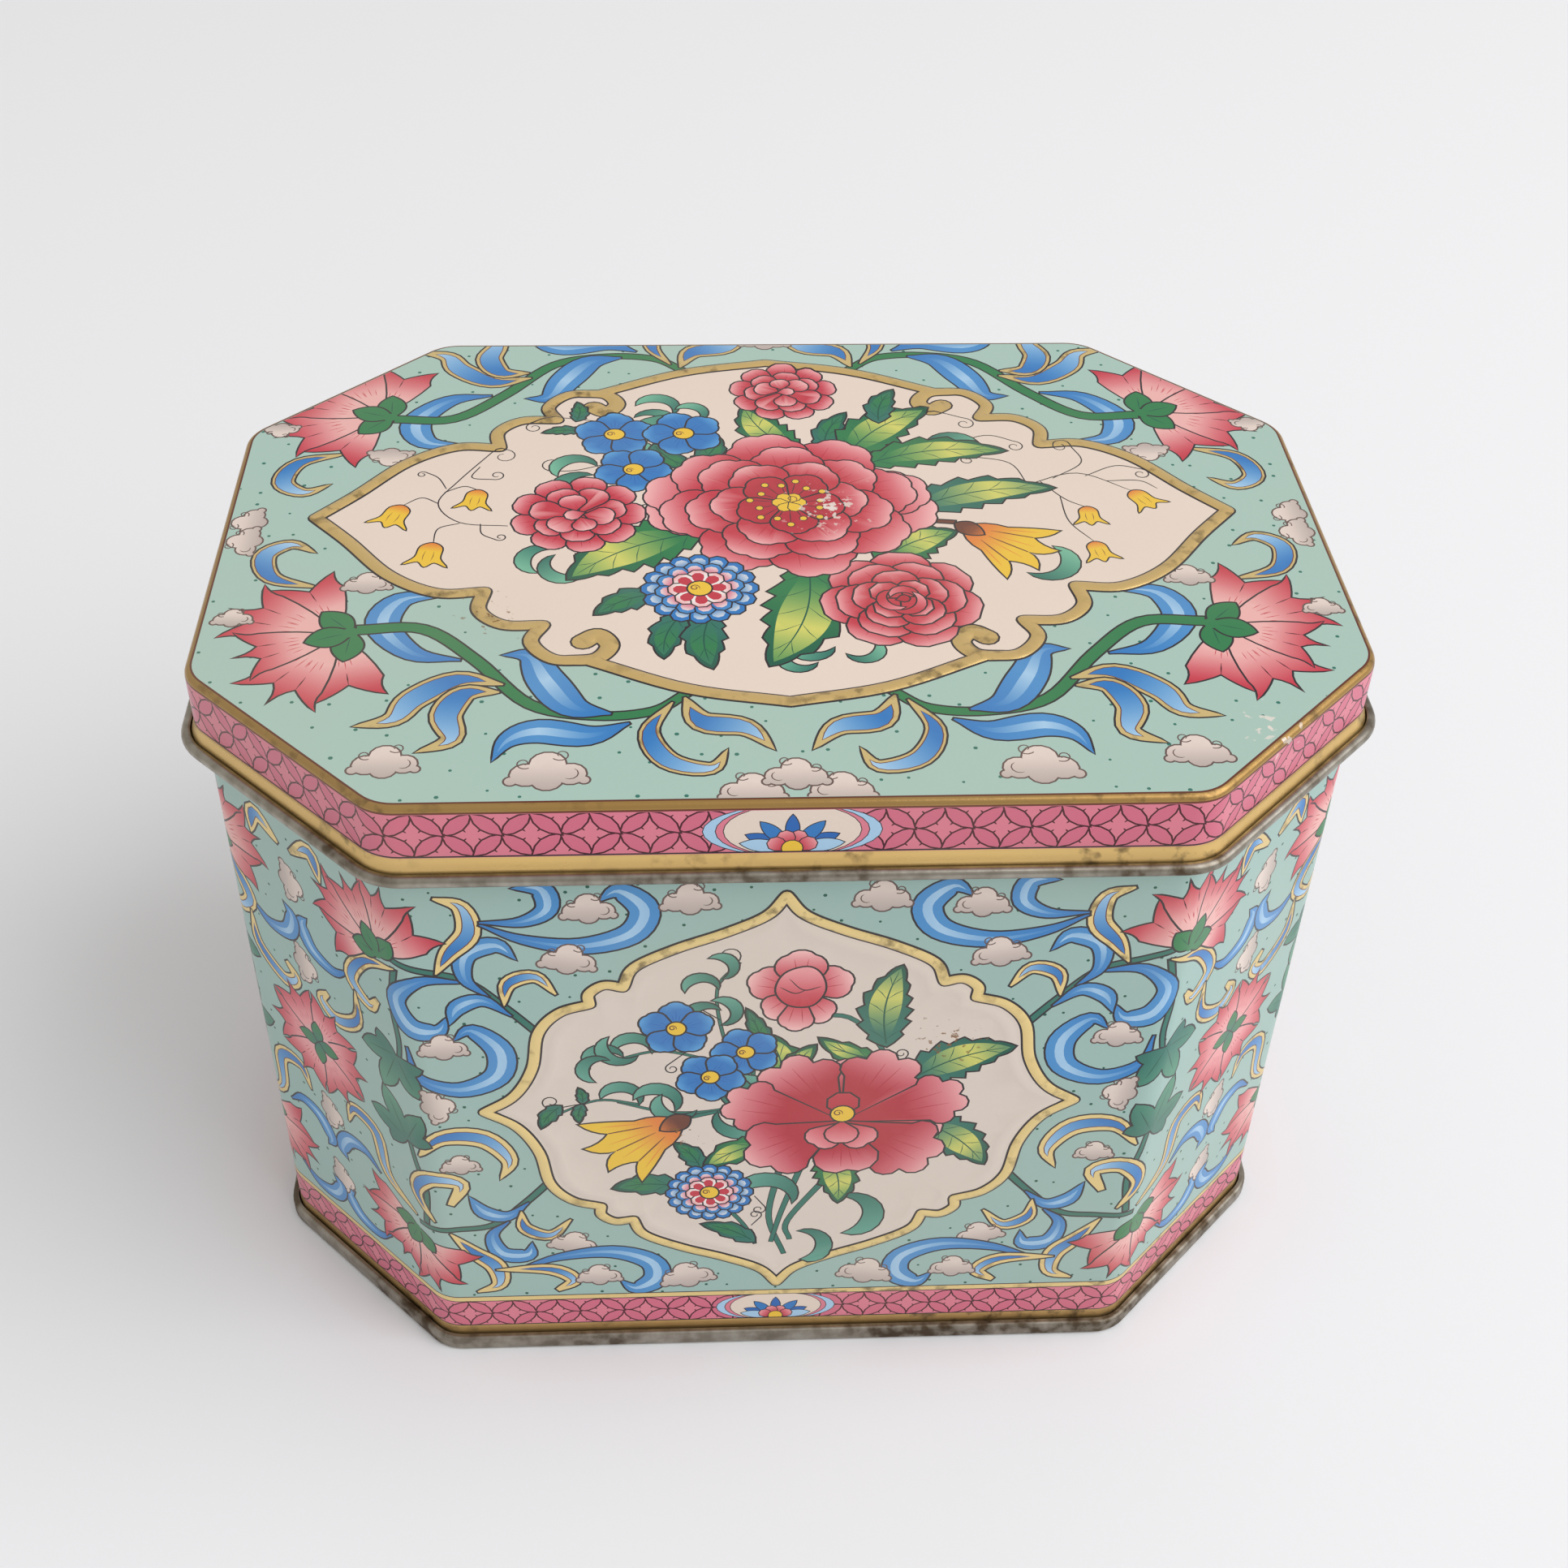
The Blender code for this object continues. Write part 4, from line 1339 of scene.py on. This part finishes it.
class Shader:
    """Adds nodes to a material and joins them up."""

    def __init__(self, name):
        self.material = bpy.data.materials.new(name)
        self.material.use_nodes = True
        self.tree = self.material.node_tree
        self.surface = self.tree.nodes["Principled BSDF"]

    def node(self, kind, **settings):
        made = self.tree.nodes.new(kind)
        for name, value in settings.items():
            setattr(made, name, value)
        return made

    def join(self, source, target):
        self.tree.links.new(source, target)

    def noise(self, scale, detail):
        """Noise in the piece's own space, with the scale in features per metre."""
        place = self.node("ShaderNodeTexCoord")
        noise = self.node("ShaderNodeTexNoise")
        noise.inputs["Scale"].default_value = scale
        noise.inputs["Detail"].default_value = detail
        self.join(place.outputs["Object"], noise.inputs["Vector"])
        return noise.outputs["Fac"]

    def spread(self, source, low, high, to_low=0.0, to_high=1.0):
        """The source's range from low to high, spread over another range."""
        spread = self.node("ShaderNodeMapRange")
        spread.inputs["From Min"].default_value = low
        spread.inputs["From Max"].default_value = high
        spread.inputs["To Min"].default_value = to_low
        spread.inputs["To Max"].default_value = to_high
        self.join(source, spread.inputs["Value"])
        return spread.outputs["Result"]

    def near(self, place, radius):
        """1 at a place given in millimetres, falling to 0 at this radius from it."""
        here = self.node("ShaderNodeTexCoord")
        distance = self.node("ShaderNodeVectorMath", operation="DISTANCE")
        distance.inputs[1].default_value = [c * MM for c in place]
        self.join(here.outputs["Object"], distance.inputs[0])
        return self.spread(distance.outputs["Value"], 0.0, radius * MM, 1.0, 0.0)

    def math(self, operation, first, second):
        node = self.node("ShaderNodeMath", operation=operation)
        for value, socket in zip((first, second), node.inputs):
            if isinstance(value, (int, float)):
                socket.default_value = value
            else:
                self.join(value, socket)
        return node.outputs["Value"]

    def blend(self, share, first, second):
        """A colour mixed from the first towards the second by a share."""
        mix = self.node("ShaderNodeMix", data_type="RGBA")
        colours = [socket for socket in mix.inputs if socket.type == "RGBA"]
        for value, socket in ((share, mix.inputs["Factor"]), (first, colours[0]), (second, colours[1])):
            if isinstance(value, tuple):
                socket.default_value = (*linear(value), 1.0)
            elif isinstance(value, (int, float)):
                socket.default_value = value
            else:
                self.join(value, socket)
        return [socket for socket in mix.outputs if socket.type == "RGBA"][0]


def printed_metal(name, gloss, spots):
    """Printed and varnished tinplate, gilded and bare where the paint's alpha says so.

    Each spot is (place, radius, grain, cover, colour): flecks of that colour, thickest at the place.
    """
    shader = Shader(name)
    paint = shader.node("ShaderNodeAttribute", attribute_name="paint")
    colour, metal = paint.outputs["Color"], paint.outputs["Alpha"]
    bare = shader.spread(metal, 0.8, 1.0)
    gilded_part = shader.spread(metal, 0.5, 0.6)
    cloudy = shader.noise(45.0, 6.0)
    mottled = shader.noise(420.0, 5.0)
    fine = shader.noise(1500.0, 3.0)
    tarnish = shader.math("MULTIPLY", shader.spread(cloudy, 0.36, 0.62, 0.55, 0.88),
                          shader.spread(mottled, 0.34, 0.62, 0.55, 1.0))
    colour = shader.blend(shader.math("MULTIPLY", tarnish, bare), colour, (76, 60, 36))
    worn = shader.math("MULTIPLY", shader.spread(mottled, 0.52, 0.66), shader.spread(cloudy, 0.45, 0.6))
    colour = shader.blend(shader.math("MULTIPLY", worn, shader.math("MULTIPLY", gilded_part, 0.7)),
                          colour, (70, 52, 36))
    faded = shader.math("MULTIPLY", shader.spread(shader.noise(25.0, 3.0), 0.4, 0.7), 0.10)
    colour = shader.blend(faded, colour, (206, 196, 168))
    for place, radius, grain, cover, tone in spots:
        near = shader.near(place, radius)
        flecks = shader.math("ADD", shader.noise(grain, 6.0), shader.math("MULTIPLY", near, cover))
        colour = shader.blend(shader.math("MULTIPLY", shader.spread(flecks, 0.72, 0.75), near), colour, tone)
    shader.join(colour, shader.surface.inputs["Base Color"])
    shader.join(metal, shader.surface.inputs["Metallic"])
    shader.surface.inputs["Specular IOR Level"].default_value = 0.35
    dull = shader.math("MULTIPLY", shader.math("MULTIPLY", tarnish, bare), 0.12)
    rough = shader.math("ADD", shader.spread(cloudy, 0.3, 0.7, gloss, gloss + 0.12), dull)
    shader.join(rough, shader.surface.inputs["Roughness"])
    bump = shader.node("ShaderNodeBump")
    bump.inputs["Strength"].default_value = 0.25
    bump.inputs["Distance"].default_value = 0.00005
    shader.join(shader.math("ADD", fine, shader.math("MULTIPLY", mottled, 2.0)), bump.inputs["Height"])
    shader.join(bump.outputs["Normal"], shader.surface.inputs["Normal"])
    return shader.material


# The tin ----------------------------------------------------------------------------------------

CHIP = (236, 226, 216)
RUST = (134, 92, 52)
LID_SPOTS = (
    ((8.0, 8.0, 113.0), 11.0, 800.0, 0.2, CHIP),
    ((62.0, -44.0, 113.0), 8.0, 700.0, 0.2, CHIP),
    ((-40.0, -18.0, 113.0), 9.0, 900.0, 0.14, RUST),
)
BODY_SPOTS = (
    ((22.0, -57.0, 68.0), 10.0, 900.0, 0.16, RUST),
    ((-16.0, -57.0, 50.0), 8.0, 1000.0, 0.1, RUST),
)
for maker, node, body, slot, gloss, spots in (
    (make_lid, "lid_shell", "lid", "lid_print", 0.24, LID_SPOTS),
    (make_body, "body_wall", "tin", "body_print", 0.28, BODY_SPOTS),
    (make_base, "base_plate", "tin", "tinplate", 0.34, ()),
):
    piece = maker()
    piece.data.materials.append(printed_metal(slot, gloss, spots))
    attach(piece, body)
    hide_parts(node)

# The stage --------------------------------------------------------------------------------------

floor_mesh = bpy.data.meshes.new("floor")
floor_mesh.from_pydata([(-3, -3, 0), (3, -3, 0), (3, 3, 0), (-3, 3, 0)], [], [(0, 1, 2, 3)])
floor = bpy.data.objects.new("floor", floor_mesh)
bpy.context.scene.collection.objects.link(floor)
floor_paint = Shader("floor")
floor_paint.surface.inputs["Base Color"].default_value = (0.925, 0.94, 0.965, 1.0)
floor_paint.surface.inputs["Roughness"].default_value = 0.6
floor_mesh.materials.append(floor_paint.material)

world = bpy.data.worlds.new("studio")
world.use_nodes = True
world.node_tree.nodes["Background"].inputs["Color"].default_value = (1.0, 0.97, 0.94, 1.0)
world.node_tree.nodes["Background"].inputs["Strength"].default_value = 0.58
bpy.context.scene.world = world
bpy.context.scene.view_settings.view_transform = "Standard"


def area_light(name, place, target, size, watts, colour):
    data = bpy.data.lights.new(name, "AREA")
    data.size = size
    data.energy = watts
    data.color = colour
    light = bpy.data.objects.new(name, data)
    light.location = place
    light.rotation_euler = (Vector(target) - Vector(place)).to_track_quat("-Z", "Y").to_euler()
    bpy.context.scene.collection.objects.link(light)


MIDDLE = (0, 0, 0.05)
area_light("key", (1.5, -0.55, 1.72), MIDDLE, 2.1, 36.0, (0.98, 0.98, 1.0))

camera_data = bpy.data.cameras.new("camera")
camera_data.lens = 48.47
camera = bpy.data.objects.new("camera", camera_data)
turn = Matrix.Rotation(-0.0613, 4, "Z") @ Matrix.Rotation(0.862, 4, "X") @ Matrix.Rotation(0.0256, 4, "Z")
camera.matrix_world = Matrix.Translation((-0.01384, -0.25346, 0.28432)) @ turn
bpy.context.scene.collection.objects.link(camera)
bpy.context.scene.camera = camera
